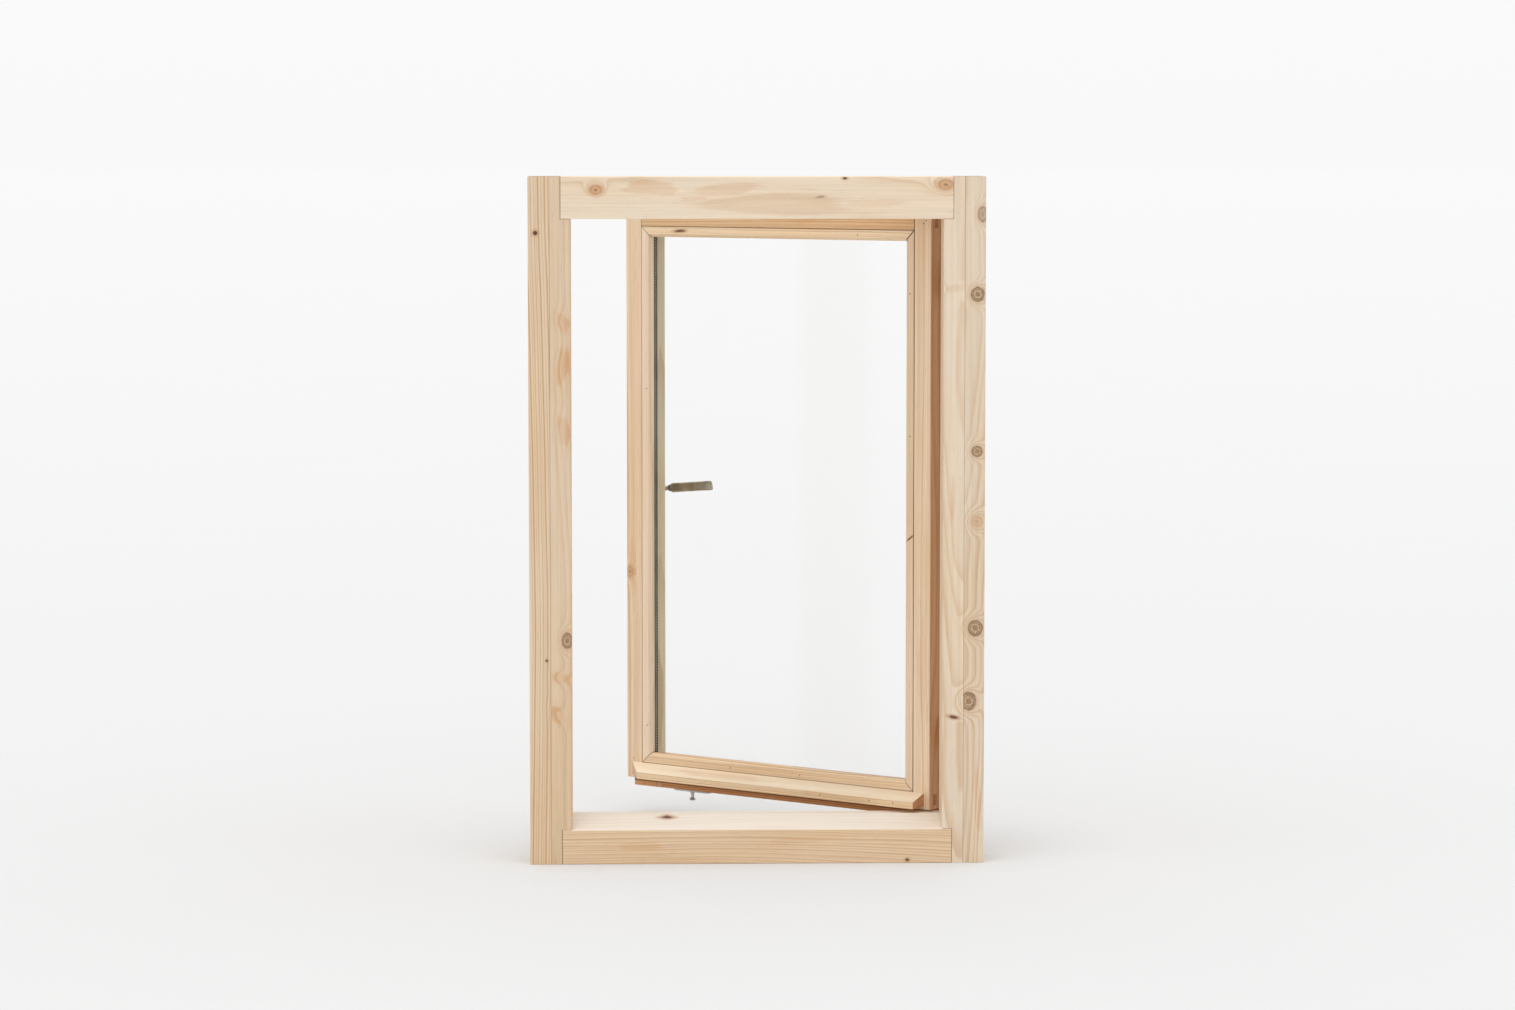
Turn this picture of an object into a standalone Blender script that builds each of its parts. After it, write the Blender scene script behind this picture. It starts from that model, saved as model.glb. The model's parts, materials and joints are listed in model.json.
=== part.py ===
"""Inward-opening timber window: fixed frame, one side-hung sash, edge lock and lever handle.

Metres, +Z up. The origin is the middle of the sill's underside, half way through the
frame's depth. -Y is the weather side, +Y the room side, +X the hinge side.
The sash is drawn shut and then swung open about its hinge pins.
"""
import math

import bmesh
import bpy
from mathutils import Matrix, Vector

MM = 0.001
GAP = 0.3 * MM                     # clearance between pieces that touch

# Fixed frame. Depths are measured from the weather face.
FRAME_W = 790 * MM
FRAME_H = 1195 * MM
FRAME_D = 115 * MM
FRAME_FACE = 73 * MM               # face width of stiles and head
FRAME_LIP_D = 72 * MM              # depth of the outer lip
FRAME_REBATE = 17.5 * MM           # step from the lip down to the seat
SILL_NOSE = 60 * MM                # sill height at the weather face
SILL_CREST = 76.3 * MM             # sill height at the end of its slope
SILL_SEAT = 73 * MM
FRAME_TENON = (38 * MM, 66 * MM)   # depth range of the rail tenons
TENON_INSET = 13 * MM

# Sash, drawn shut. Depths run from its weather face towards the room.
SASH_Y = 17.5 * MM                 # world Y of the sash's weather face
BODY_X = 332 * MM                  # half width inside the frame's rebate
BODY_Z = (76 * MM, 1135 * MM)
LIP = 15 * MM                      # overlap past the body on the room side
LIP_FOOT = 22 * MM                 # the overlap is deeper along the foot
LIP_D = 42.5 * MM                  # depth at which the overlap begins
SASH_D = 58.5 * MM
STILE_FRONT = 35 * MM              # weather face widths of the members
BOTTOM_FRONT = 29.6 * MM
TOP_FRONT = 35.1 * MM
BEAD_W = 19.5 * MM
BEAD_D = 12 * MM
BEAD_FLAT = 14 * MM
GLASS_SEAT = 32.6 * MM
SEAT_W = 12.5 * MM                 # width of the rebate that the glass sits in
SASH_TENON = (12 * MM, 24 * MM)
ARRIS = 1.0 * MM                   # eased corner on the sections

# Glass unit
PANE = 4 * MM
GLASS_CLEAR = 5 * MM
SPACER_W = 7.5 * MM
SEALANT_W = 3.4 * MM
BLOCK = (80 * MM, 19 * MM)

# Hinges
HINGE_X = 356 * MM
HINGE_Y = 67.5 * MM
HINGE_Z = (205 * MM, 1010 * MM)
KNUCKLE_R = 7.25 * MM
KNUCKLE_H = 28 * MM
HINGE_PIN_R = 3.5 * MM
STUD_R = 3.5 * MM
STUD_REACH = 42 * MM
OPEN_ANGLE = math.radians(36.1)

# Edge lock
LOCK_DEPTH = 22 * MM               # depth of the lock's centre line
FACEPLATE_Z = (130 * MM, 1085 * MM)
FACEPLATE_W = 16 * MM
FACEPLATE_T = 2.5 * MM
ROD_Z = (150 * MM, 1050 * MM)
ROD_W = 10 * MM
ROD_T = 2.7 * MM
ROD_TRAVEL = 15 * MM
CAM_Z = (330 * MM, 900 * MM)
CAM_STEM_R = 3 * MM
CAM_HEAD_R = 4.5 * MM

# Lever handle
SPINDLE_INSET = 16 * MM            # from the body's edge
SPINDLE_Z = 608.5 * MM
SPINDLE_HALF = 3.5 * MM
HANDLE_TILT = math.radians(5.5)    # above horizontal
ROSETTE = (28 * MM, 70 * MM, 9 * MM)
GRIP_X = (17 * MM, 108 * MM)
GRIP_H = 17.5 * MM
GRIP_T = 9.6 * MM
GRIP_DEPTH = 100 * MM
NECK_R = 4.6 * MM
NECK_BEND = 10 * MM

# Pinion and rack
MODULE = 1.5 * MM
TEETH = 12
PRESSURE = math.radians(25)
ADDENDUM = 1.2 * MM
DEDENDUM = 1.5 * MM
BACKLASH = 0.15 * MM

# Weather bar
BAR_INSET = 12 * MM
BAR_REACH = 36 * MM
BAR_Z = (81 * MM, 105.3 * MM)
BAR_NOSE = 12 * MM

# Stay plate and peg
STAY_X = -219 * MM
STAY = (82 * MM, 13 * MM, 2.5 * MM)
PEG_DROP = 16 * MM

ACROSS = Vector((1, 0, 0))
INWARD = Vector((0, 1, 0))
UP = Vector((0, 0, 1))
SIDES = {"left": ACROSS, "right": -ACROSS, "top": -UP, "bottom": UP}


# ---------------------------------------------------------------- scene helpers

def clear_scene():
    for obj in list(bpy.data.objects):
        bpy.data.objects.remove(obj, do_unlink=True)


def new_collection(name):
    collection = bpy.data.collections.new(name)
    bpy.context.scene.collection.children.link(collection)
    return collection


def new_material(name, colour, roughness, metallic=0.0, alpha=1.0):
    material = bpy.data.materials.new(name)
    material.use_nodes = True
    shader = material.node_tree.nodes["Principled BSDF"]
    shader.inputs["Base Color"].default_value = (*colour, 1.0)
    shader.inputs["Roughness"].default_value = roughness
    shader.inputs["Metallic"].default_value = metallic
    shader.inputs["Alpha"].default_value = alpha
    return material


clear_scene()
PARTS = new_collection("window_sash_with_crank")
CUTTERS = new_collection("cutters")
FINISH = {
    "frame_timber": ((0.72, 0.55, 0.38), 0.6),
    "sash_timber": ((0.70, 0.52, 0.34), 0.6),
    "bead_timber": ((0.67, 0.49, 0.32), 0.6),
    "clear_glass": ((0.9, 0.95, 0.93), 0.05, 0.0, 0.3),
    "spacer_metal": ((0.5, 0.49, 0.46), 0.4, 1.0),
    "sealant": ((0.06, 0.06, 0.06), 0.7),
    "block_plastic": ((0.25, 0.35, 0.5), 0.5),
    "brown_gasket": ((0.22, 0.12, 0.06), 0.7),
    "satin_nickel": ((0.62, 0.59, 0.54), 0.3, 1.0),
    "zinc_plate": ((0.66, 0.66, 0.64), 0.35, 1.0),
    "bright_steel": ((0.72, 0.72, 0.72), 0.25, 1.0),
}


def dress(obj, finish):
    """Give a part its own material of one of the finishes."""
    obj.data.materials.clear()
    obj.data.materials.append(new_material(obj.name, *FINISH[finish]))


def add(name, mesh, matrix, finish, pivot=None):
    """A part of the window; with a pivot, it turns or slides with that empty."""
    obj = bpy.data.objects.new(name, mesh)
    PARTS.objects.link(obj)
    if pivot:
        obj.parent = pivot
        obj.matrix_parent_inverse = pivot.matrix_world.inverted()
    obj.matrix_basis = matrix
    dress(obj, finish)
    return obj


def add_cutter(name, mesh, matrix, pivot=None):
    """A shape that only cuts parts or is joined to them."""
    obj = bpy.data.objects.new(name, mesh)
    CUTTERS.objects.link(obj)
    if pivot:
        obj.parent = pivot
        obj.matrix_parent_inverse = pivot.matrix_world.inverted()
    obj.matrix_basis = matrix
    obj.hide_render = True
    obj.display_type = 'WIRE'
    return obj


def combine(target, operation, others):
    for other in others:
        modifier = target.modifiers.new(operation.lower(), 'BOOLEAN')
        modifier.operation = operation
        modifier.solver = 'EXACT'
        modifier.object = other


def cut(target, *cutters):
    combine(target, 'DIFFERENCE', cutters)


def join(target, *additions):
    combine(target, 'UNION', additions)


def new_pivot(name, location, parent=None):
    pivot = bpy.data.objects.new(name, None)
    PARTS.objects.link(pivot)
    if parent:
        pivot.parent = parent
        pivot.matrix_parent_inverse = parent.matrix_world.inverted()
    pivot.location = location
    bpy.context.view_layer.update()
    return pivot


# ---------------------------------------------------------------- shape helpers

def box_mesh(name, low, high):
    """A box mesh around its own centre, and the matrix that places it."""
    size = Vector(high) - Vector(low)
    mesh = bpy.data.meshes.new(name)
    bm = bmesh.new()
    bmesh.ops.create_cube(bm, size=1.0)
    bmesh.ops.scale(bm, vec=size, verts=bm.verts)
    bm.to_mesh(mesh)
    bm.free()
    return mesh, Matrix.Translation((Vector(high) + Vector(low)) / 2)


def rod_mesh(name, start, end, radius, end_radius=None, segments=24):
    """A straight round rod or cone from start to end, and its matrix."""
    axis = Vector(end) - Vector(start)
    mesh = bpy.data.meshes.new(name)
    bm = bmesh.new()
    bmesh.ops.create_cone(bm, cap_ends=True, segments=segments, radius1=radius,
                          radius2=radius if end_radius is None else end_radius, depth=axis.length)
    bm.to_mesh(mesh)
    bm.free()
    turn = UP.rotation_difference(axis).to_matrix().to_4x4()
    return mesh, Matrix.Translation((Vector(start) + Vector(end)) / 2) @ turn


def weld(mesh):
    bm = bmesh.new()
    bm.from_mesh(mesh)
    bmesh.ops.remove_doubles(bm, verts=bm.verts, dist=0.00001)
    bmesh.ops.recalc_face_normals(bm, faces=bm.faces)
    bm.to_mesh(mesh)
    bm.free()


def curve_to_mesh(name, curve):
    guide = bpy.data.objects.new(name, curve)
    CUTTERS.objects.link(guide)
    bpy.context.view_layer.update()
    evaluated = guide.evaluated_get(bpy.context.evaluated_depsgraph_get())
    mesh = bpy.data.meshes.new_from_object(evaluated)
    mesh.name = name
    bpy.data.objects.remove(guide)
    weld(mesh)
    return mesh


def outline_mesh(name, loops, thickness):
    """A flat outline, with any holes, given a thickness centred on its plane."""
    curve = bpy.data.curves.new(name, 'CURVE')
    curve.dimensions = '2D'
    curve.fill_mode = 'BOTH'
    curve.extrude = thickness / 2
    for loop in loops:
        spline = curve.splines.new('POLY')
        spline.points.add(len(loop) - 1)
        for point, (x, y) in zip(spline.points, loop):
            point.co = (x, y, 0, 1)
        spline.use_cyclic_u = True
    return curve_to_mesh(name, curve)


def eased(outline, radius=ARRIS):
    """Cut each outward corner of an outline back by radius; inward corners stay sharp."""
    count = len(outline)
    area = sum(outline[i][0] * outline[(i + 1) % count][1]
               - outline[(i + 1) % count][0] * outline[i][1] for i in range(count))
    result = []
    for i, corner in enumerate(outline):
        here = Vector(corner)
        before = Vector(outline[i - 1]) - here
        after = Vector(outline[(i + 1) % count]) - here
        turn = before.x * after.y - before.y * after.x
        if turn * area < 0:
            result.append(here + before.normalized() * radius)
            result.append(here + after.normalized() * radius)
        else:
            result.append(here)
    return [tuple(point) for point in result]


def circle(radius, segments=32):
    return [(radius * math.cos(2 * math.pi * i / segments),
             radius * math.sin(2 * math.pi * i / segments)) for i in range(segments)]


def rectangle(low, high):
    return [(low[0], low[1]), (high[0], low[1]), (high[0], high[1]), (low[0], high[1])]


def side_matrix(side, origin):
    """Local X runs inwards from the member's outer edge, Y towards the room, Z along it."""
    inward = SIDES[side]
    along = inward.cross(INWARD)
    turn = Matrix((inward, INWARD, along)).transposed().to_4x4()
    return Matrix.Translation(origin) @ turn


def flat_matrix(y):
    """For an outline drawn in X and Z: local Z points to the weather side."""
    turn = Matrix((ACROSS, UP, -INWARD)).transposed().to_4x4()
    return Matrix.Translation((0, y, 0)) @ turn


def ring_mesh(name, outer, inner, thickness):
    """A flat rectangular ring; outer and inner are (half width, low z, high z)."""
    loops = [rectangle((-half, low), (half, high)) for half, low, high in (outer, inner)]
    return outline_mesh(name, loops, thickness)


def turned(name, profile, origin, direction, finish, pivot=None, steps=24):
    """A turned piece; the profile is (radius, height) from the top down its outer side."""
    obj = add(name, profile_mesh(name, profile), turned_matrix(origin, direction), finish, pivot)
    spin(obj, steps)
    return obj


def turned_cutter(name, profile, origin, direction, pivot=None, steps=24):
    obj = add_cutter(name, profile_mesh(name, profile), turned_matrix(origin, direction), pivot)
    spin(obj, steps)
    return obj


def profile_mesh(name, profile):
    mesh = bpy.data.meshes.new(name)
    points = [(radius, 0, height) for radius, height in profile]
    mesh.from_pydata(points, [(i, i + 1) for i in range(len(points) - 1)], [])
    return mesh


def turned_matrix(origin, direction):
    return Matrix.Translation(origin) @ UP.rotation_difference(direction).to_matrix().to_4x4()


def spin(obj, steps):
    screw = obj.modifiers.new("turn", 'SCREW')
    screw.steps = steps
    screw.render_steps = steps
    screw.use_merge_vertices = True
    screw.merge_threshold = 0.00001
    screw.use_smooth_shade = True


def box_part(name, low, high, finish, pivot=None):
    mesh, matrix = box_mesh(name, low, high)
    return add(name, mesh, matrix, finish, pivot)


def box_cutter(name, low, high, pivot=None):
    mesh, matrix = box_mesh(name, low, high)
    return add_cutter(name, mesh, matrix, pivot)


def rod_cutter(name, start, end, radius, pivot=None, end_radius=None):
    mesh, matrix = rod_mesh(name, start, end, radius, end_radius)
    return add_cutter(name, mesh, matrix, pivot)


def screw(name, seat, direction, length, finish, pivot, targets, head_r=3.6 * MM, shank_r=1.7 * MM):
    """A countersunk screw driven along direction, and its holes in the targets."""
    head = head_r - shank_r
    profile = [(0, 0), (head_r, 0), (shank_r, -head), (shank_r, -length + head), (0, -length)]
    backwards = -Vector(direction)
    part = turned(name, profile, seat, backwards, finish, pivot, steps=16)
    wide = [(0, MM), (head_r + GAP, MM), (head_r + GAP, 0), (shank_r + GAP, -head),
            (shank_r + GAP, -length - GAP), (0, -length - GAP)]
    hole = turned_cutter(name + "_hole", wide, seat, backwards, pivot, steps=16)
    for target in targets:
        cut(target, hole)
    return part


# ---------------------------------------------------------------- fixed frame

def frame_members():
    """Full-height stiles; the head and sill run between the rebates and are tenoned through."""
    seat = FRAME_FACE - FRAME_REBATE
    jamb = eased([(0, 0), (FRAME_FACE, 0), (FRAME_FACE, FRAME_LIP_D), (seat, FRAME_LIP_D),
                  (seat, FRAME_D), (0, FRAME_D)])
    sill = eased([(0, 0), (SILL_NOSE, 0), (SILL_CREST, FRAME_LIP_D), (SILL_SEAT, FRAME_LIP_D),
                  (SILL_SEAT, FRAME_D), (0, FRAME_D)])
    half = FRAME_W / 2 - seat - GAP
    weather = -FRAME_D / 2
    stiles = {}
    for side, sign in (("left", -1), ("right", 1)):
        matrix = side_matrix(side, (sign * FRAME_W / 2, weather, FRAME_H / 2))
        name = "frame_%s_stile" % side
        stiles[side] = add(name, outline_mesh(name, [jamb], FRAME_H), matrix, "frame_timber")
    head = add("frame_head", outline_mesh("frame_head", [jamb], 2 * half),
               side_matrix("top", (0, weather, FRAME_H)), "frame_timber")
    bottom = add("frame_sill", outline_mesh("frame_sill", [sill], 2 * half),
                 side_matrix("bottom", (0, weather, 0)), "frame_timber")
    fit_rail(head, stiles, "head", FRAME_H - SILL_NOSE + TENON_INSET, FRAME_H - TENON_INSET)
    fit_rail(bottom, stiles, "sill", TENON_INSET, SILL_NOSE - TENON_INSET / 4)
    room = half + GAP + 0.1 * MM
    head_room = box_cutter("head_room", (-room, weather - MM, FRAME_H - FRAME_FACE - GAP),
                           (room, -weather + MM, FRAME_H + MM))
    slope = [(-MM, -MM), (SILL_NOSE + GAP, -MM), (SILL_CREST + GAP, FRAME_LIP_D + MM),
             (SILL_CREST + GAP, FRAME_D + MM), (-MM, FRAME_D + MM)]
    sill_room = add_cutter("sill_room", outline_mesh("sill_room", [slope], 2 * room),
                           side_matrix("bottom", (0, weather, 0)))
    for stile in stiles.values():
        cut(stile, head_room, sill_room)
    return stiles


def fit_rail(rail, stiles, name, low, high):
    """Give a rail its through tenons and each stile the mortise for one."""
    near, far = (depth - FRAME_D / 2 for depth in FRAME_TENON)
    end = FRAME_W / 2 - GAP
    join(rail, box_cutter(name + "_tenon", (-end, near, low), (end, far, high)))
    mortise = box_cutter(name + "_mortise", (-end - MM, near - GAP, low - GAP),
                         (end + MM, far + GAP, high + GAP))
    for stile in stiles.values():
        cut(stile, mortise)


# ---------------------------------------------------------------- sash timber

def sash_y(depth):
    return SASH_Y + depth


def sash_section(front, lip=LIP):
    """The section shared by the sash members; front is its weather face width."""
    return [(0, 0), (front, 0), (front, GLASS_SEAT), (front + SEAT_W, GLASS_SEAT),
            (front + SEAT_W, SASH_D), (-lip, SASH_D), (-lip, LIP_D), (0, LIP_D)]


def sash_members(pivot):
    """Stiles run full height; the rails fit between them and are tenoned through."""
    low, high = BODY_Z
    foot, crown = low - LIP_FOOT, high + LIP
    stiles = {}
    section = eased(sash_section(STILE_FRONT))
    for side, sign in (("left", -1), ("right", 1)):
        name = "sash_%s_stile" % side
        mesh = outline_mesh(name, [section], crown - foot)
        stiles[side] = add(name, mesh, side_matrix(side, (sign * BODY_X, SASH_Y, (foot + crown) / 2)),
                           "sash_timber", pivot)
    half = BODY_X - STILE_FRONT - GAP
    rails = {}
    for side, front, lip, z in (("top", TOP_FRONT, LIP, high), ("bottom", BOTTOM_FRONT, LIP_FOOT, low)):
        name = "sash_%s_rail" % side
        mesh = outline_mesh(name, [eased(sash_section(front, lip))], 2 * half)
        rails[side] = add(name, mesh, side_matrix(side, (0, SASH_Y, z)), "sash_timber", pivot)
    back_half = BODY_X - STILE_FRONT - SEAT_W - GAP
    for sign in (-1, 1):
        near, far = sorted((sign * back_half, sign * (BODY_X + MM)))
        shoulder = box_cutter("rail_shoulder", (near, sash_y(GLASS_SEAT - GAP), 0),
                              (far, sash_y(SASH_D + MM), FRAME_H), pivot)
        for rail in rails.values():
            cut(rail, shoulder)
    wide = BODY_X + LIP + MM
    for end, start, stop in (("foot", foot - MM, low), ("top", high, crown + MM)):
        horn = box_cutter("stile_%s_notch" % end, (-wide, sash_y(-MM), start),
                          (wide, sash_y(LIP_D), stop), pivot)
        for stile in stiles.values():
            cut(stile, horn)
    tenons = (("top", high - TOP_FRONT + 4 * MM, high - 6 * MM),
              ("bottom", low + 6 * MM, low + BOTTOM_FRONT - 4 * MM))
    near, far = (sash_y(depth) for depth in SASH_TENON)
    end = BODY_X - GAP
    for side, start, stop in tenons:
        join(rails[side], box_cutter("sash_%s_tenon" % side, (-end, near, start),
                                     (end, far, stop), pivot))
        mortise = box_cutter("sash_%s_mortise" % side, (-end - MM, near - GAP, start - GAP),
                             (end + MM, far + GAP, stop + GAP), pivot)
        for stile in stiles.values():
            cut(stile, mortise)
    return stiles, rails


def beads(pivot):
    """Four mitred glazing beads, flat on the face and bevelled towards the glass."""
    low, high = BODY_Z
    width = BEAD_W - GAP
    section = [(0, 0), (BEAD_FLAT, 0), (width, BEAD_D / 2), (width, BEAD_D), (0, BEAD_D)]
    half_x = BODY_X - STILE_FRONT - GAP
    low_z, high_z = low + BOTTOM_FRONT + GAP, high - TOP_FRONT - GAP
    middle = (low_z + high_z) / 2
    places = {"left": ((-half_x, middle), high_z - low_z), "right": ((half_x, middle), high_z - low_z),
              "top": ((0, high_z), 2 * half_x), "bottom": ((0, low_z), 2 * half_x)}
    for side, ((x, z), length) in places.items():
        name = "bead_%s" % side
        mesh = outline_mesh(name, [section], length)
        for vertex in mesh.vertices:
            back = vertex.co.x + GAP / 2
            vertex.co.z -= math.copysign(back, vertex.co.z)
        add(name, mesh, side_matrix(side, (x, SASH_Y, z)), "bead_timber", pivot)


def weather_bar(pivot):
    """A sloped drip bar along the foot of the sash, its lock end cut back at 45 degrees."""
    low, high = BAR_Z
    height = high - low
    half = BODY_X - BAR_INSET
    groove = 4 * MM
    section = [(0, 0), (0, height), (-BAR_REACH, BAR_NOSE), (-BAR_REACH, 0),
               (-BAR_REACH + 6 * MM, 0), (-BAR_REACH + 6 * MM, groove),
               (-BAR_REACH + 6 * MM + groove, groove), (-BAR_REACH + 6 * MM + groove, 0)]
    turn = Matrix((INWARD, UP, ACROSS)).transposed().to_4x4()
    matrix = Matrix.Translation((0, SASH_Y - GAP, low)) @ turn
    bar = add("weather_bar", outline_mesh("weather_bar", [section], 2 * half), matrix,
              "sash_timber", pivot)
    for vertex in bar.data.vertices:
        if vertex.co.z < 0:
            vertex.co.z -= vertex.co.x
    return bar


def weather_seal(pivot, members):
    """A kerf-fitted gasket round the overlap; it presses on the frame's room face."""
    low, high = BODY_Z

    def loop(step):
        return (BODY_X + step, low - step, high + step)

    bulb = ring_mesh("weather_seal", loop(13 * MM), loop(8 * MM), 1.9 * MM)
    seal = add("weather_seal", bulb, flat_matrix(sash_y(LIP_D - GAP - 0.95 * MM)), "brown_gasket", pivot)
    stem = ring_mesh("seal_stem", loop(11.5 * MM), loop(9.5 * MM), 4 * MM)
    join(seal, add_cutter("seal_stem", stem, flat_matrix(sash_y(LIP_D + 0.5 * MM)), pivot))
    kerf = ring_mesh("seal_kerf", loop(11.8 * MM), loop(9.2 * MM), 6 * MM)
    slot = add_cutter("seal_kerf", kerf, flat_matrix(sash_y(LIP_D)), pivot)
    for member in members:
        cut(member, slot)


# ---------------------------------------------------------------- glass unit

def glass_unit(pivot):
    """Two panes, a spacer bar and edge sealant, carried on glazing blocks."""
    low, high = BODY_Z
    half = BODY_X - STILE_FRONT - GLASS_CLEAR
    low_z = low + BOTTOM_FRONT + GLASS_CLEAR
    high_z = high - TOP_FRONT - GLASS_CLEAR
    outer_y = sash_y(BEAD_D + GAP)
    inner_y = sash_y(GLASS_SEAT - GAP - PANE)
    for name, y in (("outer_pane", outer_y), ("inner_pane", inner_y)):
        box_part(name, (-half, y, low_z), (half, y + PANE, high_z), "clear_glass", pivot)
    start, stop = outer_y + PANE + GAP, inner_y - GAP

    def loop(step):
        return (half - step, low_z + step, high_z - step)

    inset = SEALANT_W + GAP
    rings = (("edge_sealant", 0, SEALANT_W, "sealant"),
             ("spacer_bar", inset, inset + SPACER_W, "spacer_metal"))
    for name, outside, inside, finish in rings:
        mesh = ring_mesh(name, loop(outside), loop(inside), stop - start)
        add(name, mesh, flat_matrix((start + stop) / 2), finish, pivot)
    length, width = BLOCK
    thick = GLASS_CLEAR - 2 * GAP
    near = sash_y(BEAD_D + 2 * GAP)
    for name, x in (("block_bottom_lock", -half + length), ("block_bottom_hinge", half - length)):
        box_part("glazing_" + name, (x - length / 2, near, low_z - GAP - thick),
                 (x + length / 2, near + width, low_z - GAP), "block_plastic", pivot)
    for name, sign, z in (("block_side_lock", -1, high_z - length), ("block_side_hinge", 1, low_z + length)):
        near_x, far_x = sorted((sign * (half + GAP), sign * (half + GAP + thick)))
        box_part("glazing_" + name, (near_x, near, z - length / 2),
                 (far_x, near + width, z + length / 2), "block_plastic", pivot)


# ---------------------------------------------------------------- hinges

def knuckle_profile(closed_down):
    """A barrel with a blind bore; its closed, domed end points down or up."""
    bore = HINGE_PIN_R + 0.08 * MM
    deep = KNUCKLE_H - 3 * MM
    outer = [(KNUCKLE_R, 0), (KNUCKLE_R, -KNUCKLE_H + 2 * MM), (KNUCKLE_R - 2 * MM, -KNUCKLE_H),
             (0, -KNUCKLE_H)]
    profile = [(0, -deep), (bore, -deep), (bore, 0)] + outer
    if closed_down:
        return profile
    return [(radius, -height) for radius, height in reversed(profile)]


def hinge(name, z, pivot, frame_stile, sash_stile):
    """One drill-in hinge: a lower knuckle on the frame, an upper one on the sash, and a pin."""
    centre = Vector((HINGE_X, HINGE_Y, z))
    split = 0.25 * MM
    wall = KNUCKLE_R - 1.5 * MM
    parts = (("frame", centre - UP * split, True, -INWARD, None, frame_stile, -KNUCKLE_H / 2),
             ("sash", centre + UP * split, False, -ACROSS, pivot, sash_stile, KNUCKLE_H / 2))
    for label, origin, down, reach, owner, timber, level in parts:
        knuckle = turned("hinge_%s_%s_knuckle" % (name, label), knuckle_profile(down), origin, UP,
                         "zinc_plate", owner)
        start = centre + UP * level + reach * wall
        stop = centre + UP * level + reach * STUD_REACH
        join(knuckle, rod_cutter("stud", start, stop, STUD_R, owner))
        bore_start = centre + UP * level + reach * (KNUCKLE_R + MM)
        cut(timber, rod_cutter("stud_hole", bore_start, stop + reach * GAP, STUD_R + GAP, owner))
    reach = KNUCKLE_H - 3.5 * MM
    edge = 0.6 * MM
    turned("hinge_%s_pin" % name,
           [(0, reach), (HINGE_PIN_R - edge, reach), (HINGE_PIN_R, reach - edge),
            (HINGE_PIN_R, -reach + edge), (HINGE_PIN_R - edge, -reach), (0, -reach)],
           centre, UP, "bright_steel")


# ---------------------------------------------------------------- edge lock

def edge_lock(sash_pivot, rod_pivot, stile):
    """Faceplate, gear case, sliding drive rod with two cams, all in the sash's lock edge."""
    edge = -BODY_X
    centre_y = sash_y(LOCK_DEPTH)
    face_back = edge + FACEPLATE_T
    rod_front = face_back + GAP
    rod_back = rod_front + ROD_T
    half_w = FACEPLATE_W / 2
    faceplate = box_part("lock_faceplate", (edge, centre_y - half_w, FACEPLATE_Z[0]),
                         (face_back, centre_y + half_w, FACEPLATE_Z[1]), "zinc_plate", sash_pivot)
    cut(stile, box_cutter("faceplate_groove", (edge - MM, centre_y - half_w - GAP, FACEPLATE_Z[0] - GAP),
                          (face_back + GAP, centre_y + half_w + GAP, FACEPLATE_Z[1] + GAP), sash_pivot))
    rod_half = ROD_W / 2
    rod = box_part("drive_rod", (rod_front, centre_y - rod_half, ROD_Z[0]),
                   (rod_back, centre_y + rod_half, ROD_Z[1]), "zinc_plate", rod_pivot)
    cut(stile, box_cutter("rod_groove", (edge, centre_y - rod_half - 0.5 * MM, ROD_Z[0] - 5 * MM),
                          (rod_back + GAP, centre_y + rod_half + 0.5 * MM, ROD_Z[1] + ROD_TRAVEL + 5 * MM),
                          sash_pivot))
    join(rod, rack_teeth(rod_back, centre_y, rod_pivot))
    for name, z in zip(("lower", "upper"), CAM_Z):
        cam(name, z, edge, rod_front, centre_y, rod_pivot, rod, faceplate)
    gear_case(rod_front, rod_back, centre_y, sash_pivot, stile)
    seat_x = edge + 0.1 * MM
    screws = (("foot", FACEPLATE_Z[0] + 8 * MM), ("low", 480 * MM), ("high", 760 * MM),
              ("top", FACEPLATE_Z[1] - 8 * MM))
    for name, z in screws:
        screw("faceplate_screw_" + name, (seat_x, centre_y, z), ACROSS, 24 * MM, "bright_steel",
              sash_pivot, (faceplate, stile))
        if ROD_Z[0] < z < ROD_Z[1]:
            reach = 2.8 * MM
            cut(rod, box_cutter("rod_slot", (edge, centre_y - reach, z - ROD_TRAVEL - reach),
                                (rod_back + MM, centre_y + reach, z + reach), rod_pivot))


def rack_teeth(rod_back, centre_y, pivot):
    """Rack teeth on the rod's back; they mesh with the pinion through the whole travel."""
    pitch = math.pi * MODULE
    line = rod_back + DEDENDUM
    slope = math.tan(PRESSURE)
    half = pitch / 4 - BACKLASH
    points = []
    for k in range(-5, 3):
        z = SPINDLE_Z + k * pitch
        points += [(rod_back, z - half - DEDENDUM * slope), (line + ADDENDUM, z - half + ADDENDUM * slope),
                   (line + ADDENDUM, z + half - ADDENDUM * slope), (rod_back, z + half + DEDENDUM * slope)]
    inside = rod_back - ROD_T / 2
    outline = [(inside, points[0][1])] + points + [(inside, points[-1][1])]
    mesh = outline_mesh("rack_teeth", [outline], ROD_W - 0.4 * MM)
    return add_cutter("rack_teeth", mesh, flat_matrix(centre_y), pivot)


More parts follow.
